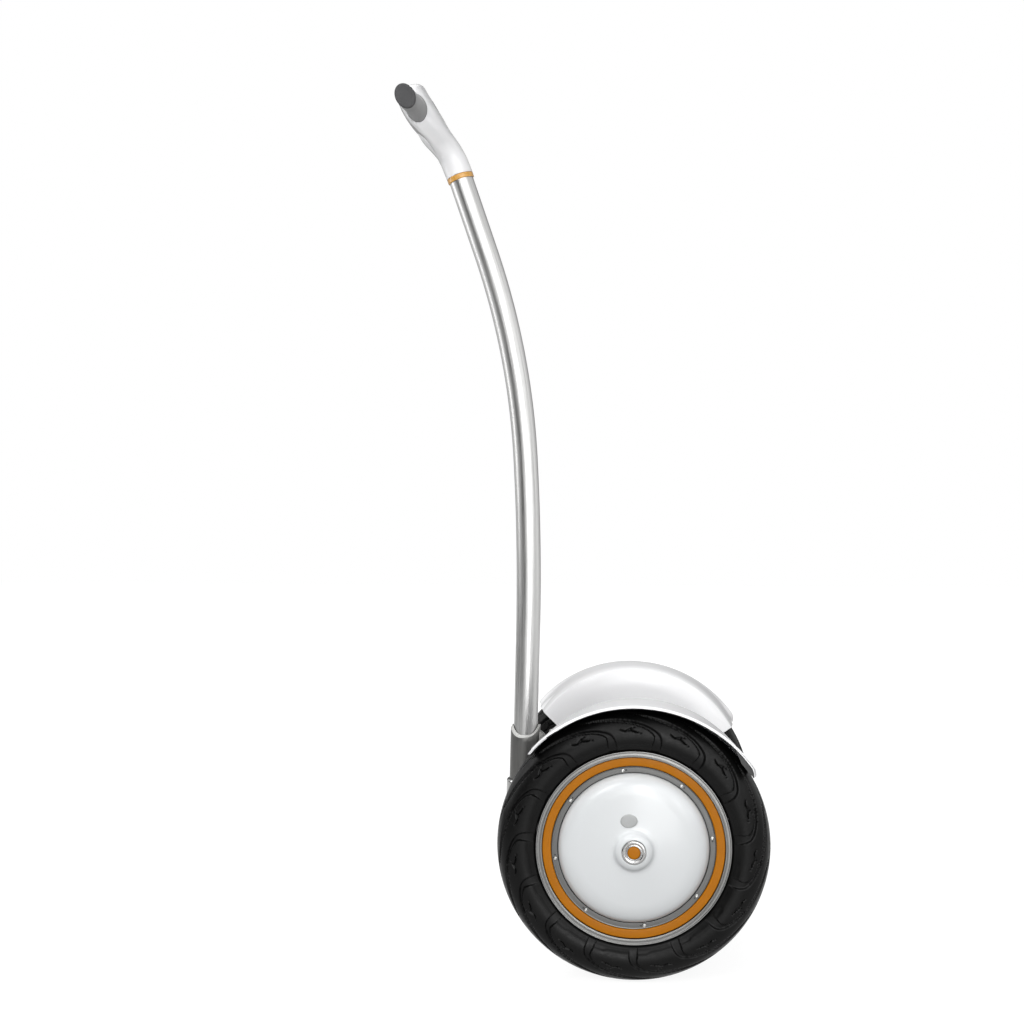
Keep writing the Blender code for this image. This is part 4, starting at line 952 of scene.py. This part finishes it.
def stem_at(distance):
    """Point and lean of the stem's centre line at a distance from its start."""
    x, z = STEM_START
    lean = radians(STEM_LEAN_DEG)
    left = distance
    for i, (length, turn) in enumerate(STEM_RUNS):
        last = i == len(STEM_RUNS) - 1
        run = left if last else min(left, length)
        bend = radians(turn) / length
        parts = max(1, int(run / 0.002)) if turn else 1
        for _ in range(parts):
            middle = lean + bend * run / parts / 2
            x -= sin(middle) * run / parts
            z += cos(middle) * run / parts
            lean += bend * run / parts
        left -= run
        if left <= 0 and not last:
            break
    return Vector((x, 0, z)), lean


def stem_curve():
    """Polynomial of the centre line's X over its height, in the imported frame."""
    points = [stem_at(distance)[0] for distance in np.linspace(0, STEM_LENGTH, 80)]
    return [float(c) for c in np.polyfit([p.z + LIFT for p in points], [p.x + AXLE_X for p in points], 6)]


def tube_ring(distance, radius, saddle=0.0, count=96):
    """Ring round the stem. A saddle stands higher at the sides than in front and behind."""
    point, forward, up = stem_frame(distance)
    return [point + forward * radius * cos(angle) + Vector((0, radius * sin(angle), 0))
            - up * saddle * cos(2 * angle) for angle in turns(count)]


def stem_frame(distance):
    """Point, forward direction and upward direction of the stem at a distance from its start."""
    point, lean = stem_at(distance)
    return point, Vector((-cos(lean), 0, -sin(lean))), Vector((-sin(lean), 0, cos(lean)))


def make_stem():
    steps = np.linspace(SLEEVE_BOTTOM_Z + 0.0003 - STEM_START[1], STEM_LENGTH, 90)
    rows = [tube_ring(d, STEM_R) for d in steps] + [tube_ring(d, STEM_R - STEM_WALL) for d in reversed(steps)]
    add("drawn_stem_tube", grid(rows, close_rows=True, caps=False), "stem", "steering", "stem_tube")

    profile = fillet([(0.0194, -0.004), (0.0204, -0.004), (0.0209, -0.003), (0.0209, 0.003),
                      (0.0204, 0.004), (0.0194, 0.004)], 0.0004, 3)
    rows = [tube_ring(RING_AT + rise, radius, RING_SADDLE) for radius, rise in profile]
    add("orange_stem_ring", grid(rows, close_rows=True, caps=False), "ring_orange", "steering", "stem_ring")


def sleeve_ring(z, radius, saddle, tilt=0.0, count=128):
    """Ring round the stem whose front and rear stand above its sides."""
    row = []
    for angle in turns(count):
        height = z + saddle * abs(cos(angle)) ** 3.3 + tilt * cos(angle)
        centre = stem_at(height - STEM_START[1])[0]
        row.append((centre.x + radius * cos(angle), radius * sin(angle), height))
    return row


# Rows of the sleeve as (height, radius, how far its front and rear stand above its sides, tilt)
SLEEVE_PEAK = 0.0146
SLEEVE_ROWS = (
    (SLEEVE_BOTTOM_Z, SLEEVE_OUTER_R, 0), (0.27, SLEEVE_OUTER_R, 0), (0.3, SLEEVE_OUTER_R, 0.006),
    (SLEEVE_SIDE_Z - 0.011, SLEEVE_OUTER_R, 0.014),
    (SLEEVE_SIDE_Z - 0.0036, SLEEVE_OUTER_R, SLEEVE_PEAK, 0.0026),
    (SLEEVE_SIDE_Z - 0.003, SLEEVE_OUTER_R - 0.0003, SLEEVE_PEAK, 0.0026),
    (SLEEVE_SIDE_Z - 0.0006, SLEEVE_INNER_R + 0.0013, SLEEVE_PEAK),
    (SLEEVE_SIDE_Z, SLEEVE_INNER_R + 0.0008, SLEEVE_PEAK),
    (SLEEVE_SIDE_Z - 0.0006, SLEEVE_INNER_R + 0.0002, SLEEVE_PEAK),
    (SLEEVE_SIDE_Z - 0.0016, SLEEVE_INNER_R, SLEEVE_PEAK),
    (SLEEVE_SIDE_Z - 0.014, SLEEVE_INNER_R, 0.0), (SLEEVE_BOTTOM_Z, SLEEVE_INNER_R, 0))
WEB_EDGE_X = -0.14


def make_sleeve():
    rows = [sleeve_ring(*row) for row in SLEEVE_ROWS]
    sleeve = mesh_object("stem_socket", grid(rows, close_rows=True, caps=False))
    web = fillet([(-0.1478, 0.3327), (-0.1425, 0.3323), (-0.1345, 0.3242), (-0.1345, 0.26), (-0.1478, 0.26)],
                 [0.0, 0.004, 0.004, 0.002, 0.0], 4)
    half = ((0.0085, 0.0012), (0.0081, 0.0003), (0.0073, 0.0))
    rows = [[(x - inset if x > WEB_EDGE_X else x, y, z - inset) for x, z in web]
            for y, inset in [(-y, inset) for y, inset in half] + list(reversed(half))]
    combine(sleeve, [grid(rows)], operation="UNION")
    dress(sleeve, "sleeve", "steering", "stem_sleeve")
    # The rim's chamfer, facing up, gets a lighter metal: a painted highlight for the light it catches
    sleeve.data.materials.append(LOOKS["sleeve_rim"][1])
    for face in sleeve.data.polygons:
        x, y, z = face.center
        centre = stem_at(z - LIFT - STEM_START[1])[0]
        on_sleeve = hypot(x - AXLE_X - centre.x, y) < SLEEVE_OUTER_R + 0.0002
        if on_sleeve and face.normal.z > 0.12 and z > 0.32:
            face.material_index = 1

    foot, _, axis = stem_frame(0.03)
    reach = COLLAR_TOP_Z - foot.z
    bore = SLEEVE_OUTER_R + 0.0005
    profile = [(COLLAR_R - 0.001, -0.014), (COLLAR_R, -0.0125), (COLLAR_R, reach - 0.0036),
               (COLLAR_R - 0.0012, reach - 0.001), (COLLAR_R - 0.0036, reach), (bore, reach), (bore, -0.014)]
    collar = mesh_object("clamp_collar", lathe(fillet(profile, 0.0008, 4), foot, axis, 128))
    combine(collar, [box_shape((foot.x - 0.0008, -0.04, foot.z - 0.02),
                               (foot.x + 0.0008, -0.024, foot.z + 0.05), 0.0002, 1)])
    dress(collar, "chrome", "steering", "stem_collar")
    bolt = [(0, 0.0), (0.0045, 0.0), (0.0045, 0.0026), (0.0039, 0.0034), (0.0026, 0.0035), (0.0022, 0.0016),
            (0, 0.0016)]
    bolt = lathe(fillet(bolt, 0.0003, 2, closed=False), (foot.x, -COLLAR_R - 0.0003, foot.z), (0, -1, 0), 48)
    add("collar_bolt", bolt, "screw", "steering", "collar_screw")

    knuckle = mesh_object("steering_knuckle",
                          box_shape((-0.199, -0.028, 0.172), (-0.143, 0.028, 0.2197), 0.0065, 5))
    combine(knuckle, [bore_shape((-0.147, 0, PIVOT_Z), (1, 0, 0), 0.0114, 0.047)])
    dress(knuckle, "cast", "steering", "stem_knuckle")
    # Nut on the end of the shaft
    flats = [[(x, radius * cos(angle), PIVOT_Z + radius * sin(angle)) for angle in turns(6)]
             for x, radius in ((-0.1938, 0.0094), (-0.1984, 0.0094), (-0.199, 0.0086))]
    add("shaft_nut", grid(flats), "screw", "steering", smooth_deg=20)


# Handle

NECK_R = 0.021
# Half height and half thickness of a grip, and of the pocket that it stands in
GRIP_HALF = (0.019, 0.0146)
GRIP_LEAN_DEG = 27
POCKET = (0.0227, 0.0162)
POCKET_LEAN_DEG = 18
# Where the grip's flare begins and ends, from the middle
FLARE_Y = (0.059, 0.082)
BAR_HOLE_R = 0.0114
GRIP_END_Y = 0.1923
# Rows of a grip's cap as (distance from the middle, half height)
GRIP_CAP = ((0.1928, 0.0186), (0.1932, 0.019), (0.1975, 0.019), (0.199, 0.0186), (0.1998, 0.0178),
            (0.2, 0.0168), (0.1995, 0.0146), (0.1992, 0.01), (0.1992, 0.0055))
WINDOW_AT = Vector((-0.3074, 0, 1.311))
WINDOW_UP = Vector((-0.516, 0, 0.856))
WINDOW_OUT = Vector((0.856, 0, 0.516))
WINDOW_HALF = (0.0105, 0.0165)
HEAD_SECTIONS = (
    # front point, rear point, half width, squareness of the front half and of the rear half
    ((-0.304, 1.229), (-0.264, 1.242), 0.0235, 2.1, 2.1),
    ((-0.3145, 1.242), (-0.2722, 1.256), 0.031, 2.6, 2.1),
    ((-0.327, 1.2555), (-0.2815, 1.269), 0.043, 3.2, 2.1),
    ((-0.3385, 1.27), (-0.2895, 1.281), 0.0535, 3.6, 2.1),
    ((-0.348, 1.2835), (-0.2975, 1.2955), 0.0595, 3.8, 2.1),
    ((-0.357, 1.2985), (-0.307, 1.311), 0.0615, 3.8, 2.1),
    ((-0.3635, 1.312), (-0.316, 1.3255), 0.061, 3.8, 2.2),
    ((-0.3653, 1.324), (-0.322, 1.335), 0.06, 3.6, 2.4),
    ((-0.3615, 1.335), (-0.3248, 1.34), 0.054, 3.4, 3),
    ((-0.354, 1.3402), (-0.329, 1.3432), 0.038, 3.2, 3.2),
)
# How far the sections' front is set back behind the keel, and how much sharper their crease is
KEEL_REACH = (0.0, 0.09, 0.15, 0.07, 0.015, 0.0, 0.0, 0.0, 0.0, 0.0)
KEEL_CREASE = (0.0, 1.6, 4, 3, 1.2, 0.0, 0.0, 0.0, 0.0, 0.0)
# How far the keel's own front is set back, and its half width
KEEL_FRONT = ((0.015, 0.0212), (0.0, 0.0215), (0.0, 0.0205), (0.05, 0.0165), (0.16, 0.012))
# How far back into the head the keel reaches
KEEL_DEPTH = 0.62


def superellipse_ring(front, rear, half_width, front_power, rear_power, count=160):
    front, rear = Vector((front[0], 0, front[1])), Vector((rear[0], 0, rear[1]))
    centre, depth = (front + rear) / 2, (front - rear) / 2
    row = []
    for angle in turns(count):
        c, s = cos(angle), sin(angle)
        power = front_power if c > 0 else rear_power
        along = copysign(abs(c) ** (2 / power), c)
        side = copysign(abs(s) ** (2 / power), s)
        row.append(centre + depth * along + Vector((0, half_width * side, 0)))
    return row


def oval(y, half_long, half_short, lean_deg=GRIP_LEAN_DEG):
    """Oval section of a grip at y. The grips sweep forward and droop away from the middle."""
    lean = radians(lean_deg)
    long_axis = Vector((-sin(lean), 0, cos(lean)))
    short_axis = Vector((cos(lean), 0, sin(lean)))
    centre = Vector((GRIP_X - GRIP_SWEEP * abs(y), y, GRIP_Z - GRIP_DROOP * abs(y)))
    return [centre + long_axis * half_long * cos(angle) + short_axis * half_short * sin(angle)
            for angle in turns(96)]


def between(start, end, share):
    """Numbers a share of the way from one row of them to another."""
    return [a + (b - a) * share for a, b in zip(start, end)]


def head_rows():
    """Smooth sections of the head from its neck to its top."""
    knots = []
    for distance in (RING_AT + 0.0043, RING_AT + 0.018):
        point, forward, up = stem_frame(distance)
        front, rear = point + forward * NECK_R, point - forward * NECK_R
        knots.append((front.x, front.z, rear.x, rear.z, NECK_R, 2, 2))
    for (front, rear, half_width, *powers), back, crease in zip(HEAD_SECTIONS, KEEL_REACH, KEEL_CREASE):
        knots.append((*between(front, rear, back), *rear, half_width, powers[0] + crease, powers[1]))
    rows = [superellipse_ring((a, b), (c, d), w, max(p, 2), max(q, 2))
            for a, b, c, d, w, p, q in smooth_curve(knots, 80)]
    # The foot of the neck follows the ring below it
    for i, row in enumerate(rows[:6]):
        rows[i] = [point - up * RING_SADDLE * cos(2 * angle) * (1 - i / 6)
                   for point, angle in zip(row, turns(len(row)))]
    return rows


def keel_rows():
    """Rounded keel in front of the head, between the creases under its two arms."""
    knots = [(*between(front, rear, back), *between(front, rear, KEEL_DEPTH), wide)
             for (front, rear, *_), (back, wide) in zip(HEAD_SECTIONS, KEEL_FRONT)]
    return [superellipse_ring((a, b), (c, d), w, 2.1, 2.1, 96) for a, b, c, d, w in smooth_curve(knots, 40)]


def make_head():
    head = mesh_object("handle_shell", grid(head_rows()), 50)
    combine(head, [grid(keel_rows())], 50, "UNION")
    cutters = []
    for sign in (-1, 1):
        cutters.append(grid([oval(sign * y, BAR_HOLE_R, BAR_HOLE_R) for y in (-0.001, 0.05)]))
        cutters.append(grid([oval(sign * y, *POCKET, POCKET_LEAN_DEG) for y in (0.0437, 0.08)]))
    # Pocket of the status window, in the face that looks at the rider
    corners = fillet([(-WINDOW_HALF[0], -WINDOW_HALF[1]), (-WINDOW_HALF[0], WINDOW_HALF[1]),
                      WINDOW_HALF, (WINDOW_HALF[0], -WINDOW_HALF[1])], 0.0012, 4)
    cutters.append(grid([[WINDOW_AT + WINDOW_UP * a + Vector((0, b, 0)) + WINDOW_OUT * depth
                          for a, b in corners] for depth in (-0.0026, 0.012)]))
    combine(head, cutters, 50)
    dress(head, "white", "steering", "handle_head")

    flare = [half - 0.0006 for half in POCKET]
    slim, thin = GRIP_HALF
    for side, sign in SIDES:
        outer = [oval(sign * y, *flare, POCKET_LEAN_DEG) for y in (0.044, 0.056)]
        for share in np.linspace(0, 1, 10):
            y = FLARE_Y[0] + (FLARE_Y[1] - FLARE_Y[0]) * share
            share = share * share * (3 - 2 * share)
            outer.append(oval(sign * y, *between(flare, GRIP_HALF, share),
                              POCKET_LEAN_DEG + (GRIP_LEAN_DEG - POCKET_LEAN_DEG) * share))
        outer += [oval(sign * y, r, r - slim + thin)
                  for y, r in ((0.1, slim), (0.188, slim), (0.1917, slim - 0.0001),
                               (GRIP_END_Y, slim - 0.0006))]
        inner = [oval(sign * y, BAR_HOLE_R, BAR_HOLE_R) for y in (GRIP_END_Y, 0.044)]
        add(f"{side}_soft_grip", grid(outer + inner, close_rows=True, caps=False), "grip", "steering",
            f"{side}_grip", smooth_deg=50)
        rows = [oval(sign * y, r, r - slim + thin) for y, r in GRIP_CAP]
        add(f"{side}_grip_end", grid(rows), "grip_end", "steering", f"{side}_grip_cap", smooth_deg=50)


# Parts that keep their CAD mesh


CARRIED = {
    "steel": ("stand_bracket", "stand_pin", "parking_stand", "pivot_shaft", "handlebar_tube", "left_axle",
              "right_axle", "left_outer_bearing", "left_inner_bearing", "right_outer_bearing",
              "right_inner_bearing"),
    "cast": ("frame_beam", "pivot_housing"),
    "iron": ("left_motor_stator", "right_motor_stator"),
    "battery": ("battery_pack",),
    "black": ("controller_board",),
    "bronze": ("pivot_bush",),
    "mat": ("stand_foot",),
    "dark_lens": ("status_display",),
}


def finish_carried():
    for look, names in CARRIED.items():
        for name in names:
            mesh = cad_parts[name].data
            mesh.materials.clear()
            mesh.materials.append(LOOKS[look][1])


# Light, floor and camera


# Soft boxes: name, place, what it points at, size, power, the only rays that see it, spread in degrees
LAMPS = (
    ("front", (1.0, -4.6, 1.3), (0, 0, 0.6), (3, 3), 76),
    ("key_left", (-1.7, -3.6, 2.8), (0, 0, 0.6), (2, 2), 76),
    ("key_right", (2, -3.4, 3), (0, 0, 0.6), (2, 2), 34),
    ("top", (-1.6, 0.3, 6), (0, 0, 0.4), (4, 4), 255),
    ("back", (0.4, 4.2, 2.2), (0, 0, 0.6), (3, 3), 55, "DIFFUSE"),
    ("head_fill", (-1.1, -1.7, 0.8), (-0.32, 0, 1.28), (0.5, 0.5), 0.5, "DIFFUSE", 50),
    ("strip", (0.18, -1.25, 0.4), (-0.2, 0, 0.4), (0.16, 1), 3.4, "GLOSSY"),
    ("belt", (1.3, -1.6, 0.74), (-0.2, 0, 0.74), (1.2, 0.4), 4, "GLOSSY"),
    ("upper_right", (2.2, -1.2, 1.6), (-0.2, 0, 0.8), (1.2, 1.2), 5, "GLOSSY"),
    ("left", (-2.6, 0.2, 1.4), (-0.2, 0, 0.7), (0.9, 2.4), 20, "GLOSSY"),
    ("right", (2.6, 0.3, 1.2), (0, 0, 0.7), (0.8, 2.4), 5, "GLOSSY"),
)
# Dark panels: name, place, size, direction of their width, grey, direction of their height, and
# whether they only hold light off
FLAGS = (
    ("dark_left", (-1.5, -1.6, 1.05), (1.3, 2.6), (0.82, -0.57, 0)),
    ("head_shade", (-0.51, 0.04, 2), (0.55, 0.55), (1, 0, 0), 0.02, (0, 1, 0), True),
    ("dark_low", (-2, -0.2, 0.18), (3, 0.6), (0, 1, 0)),
    ("dark_back", (0.1, 3.6, 2), (5, 4.4), (1, 0, 0), 0.16),
)
WORLD_FILL = 0.36
FLOOR_HALF = 6
FLOOR_GREY = 0.2
FLOOR_GLOW = 0.9


def area_light(name, at, target, size, power, only="", spread=180):
    """Soft box. A GLOSSY one shows only in reflections and a DIFFUSE one only in soft shading."""
    light = bpy.data.lights.new(name, "AREA")
    light.shape = "RECTANGLE"
    light.size, light.size_y = size
    light.energy = power
    light.spread = radians(spread)
    lamp = new_object(name, light)
    lamp.location = at
    lamp.rotation_euler = (Vector(target) - Vector(at)).to_track_quat("-Z", "Y").to_euler()
    lamp.visible_diffuse = only != "GLOSSY"
    lamp.visible_glossy = only != "DIFFUSE"
    lamp.visible_camera = not only
    return lamp


def sheet(name, at, size, across, up, grey):
    """Flat rectangle with its own plain material."""
    across, up = Vector(across).normalized() * size[0] / 2, Vector(up) * size[1] / 2
    corners = [Vector(at) + across * a + up * b for a, b in ((-1, -1), (1, -1), (1, 1), (-1, 1))]
    mesh = bpy.data.meshes.new(name)
    mesh.from_pydata(corners, [], [(0, 1, 2, 3)])
    material = bpy.data.materials.new(name)
    material.use_nodes = True
    shader = material.node_tree.nodes["Principled BSDF"].inputs
    shader["Base Color"].default_value = (grey, grey, grey, 1)
    mesh.materials.append(material)
    return new_object(name, mesh), material.node_tree, shader


def flag(name, at, size, across, grey=0.02, up=(0, 0, 1), shade_only=False):
    """Dark panel that shows only in reflections, or a shade that only holds light off."""
    panel = sheet(name, at, size, across, up, grey)[0]
    panel.visible_camera = False
    panel.visible_diffuse = False
    panel.visible_glossy = not shade_only
    panel.visible_shadow = shade_only
    panel.visible_transmission = False
    return panel


def seen_rays(tree):
    """Socket that is 1 for rays that come from the camera, a reflection or clear material."""
    seen = new_node(tree, "LightPath", out="Is Camera Ray")
    for kind in ("Is Glossy Ray", "Is Transmission Ray"):
        other = new_node(tree, "LightPath", out=kind)
        seen = new_node(tree, "Math", {0: seen, 1: other}, operation="MAXIMUM")
    return seen


def make_world():
    world = bpy.data.worlds.new("studio")
    bpy.context.scene.world = world
    world.use_nodes = True
    tree = world.node_tree
    tree.nodes.clear()
    fill, white = (new_node(tree, "Background", {"Color": (1, 1, 1, 1), "Strength": strength})
                   for strength in (WORLD_FILL, 1.0))
    mixed = new_node(tree, "MixShader", {0: seen_rays(tree), 1: fill, 2: white})
    feed(tree, mixed, tree.nodes.new("ShaderNodeOutputWorld").inputs["Surface"])


def make_floor():
    floor, tree, shader = sheet("floor", (0, 0, 0), (2 * FLOOR_HALF,) * 2, (1, 0, 0), (0, 1, 0), FLOOR_GREY)
    shader["Roughness"].default_value = 0.9
    shader["Specular IOR Level"].default_value = 0.0
    shader["Emission Color"].default_value = (1, 1, 1, 1)
    glow = new_node(tree, "Math", {0: seen_rays(tree), 1: FLOOR_GLOW}, operation="MULTIPLY")
    feed(tree, glow, shader["Emission Strength"])
    return floor


def make_camera():
    data = bpy.data.cameras.new("camera")
    data.lens = CAMERA_LENS
    data.sensor_width = 36
    camera = new_object("camera", data)
    x, y, z = CAMERA_AT
    camera.location = (x + AXLE_X, y, z + LIFT)
    level = cos(CAMERA_PITCH)
    forward = Vector((-sin(CAMERA_YAW) * level, cos(CAMERA_YAW) * level, -sin(CAMERA_PITCH)))
    camera.rotation_euler = forward.to_track_quat("-Z", "Y").to_euler()
    bpy.context.scene.camera = camera


def main():
    bpy.context.scene.view_settings.view_transform = "Standard"
    LOOKS.update(make_looks())
    make_tyres()
    for side, sign in SIDES:
        make_wheel(side, sign)
        make_fender(side, sign)
    make_body()
    make_mats()
    make_console()
    make_rear_panel()
    make_stem()
    make_sleeve()
    make_head()
    finish_carried()
    make_world()
    make_floor()
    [area_light(*lamp) for lamp in LAMPS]
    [flag(*panel) for panel in FLAGS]
    make_camera()


main()
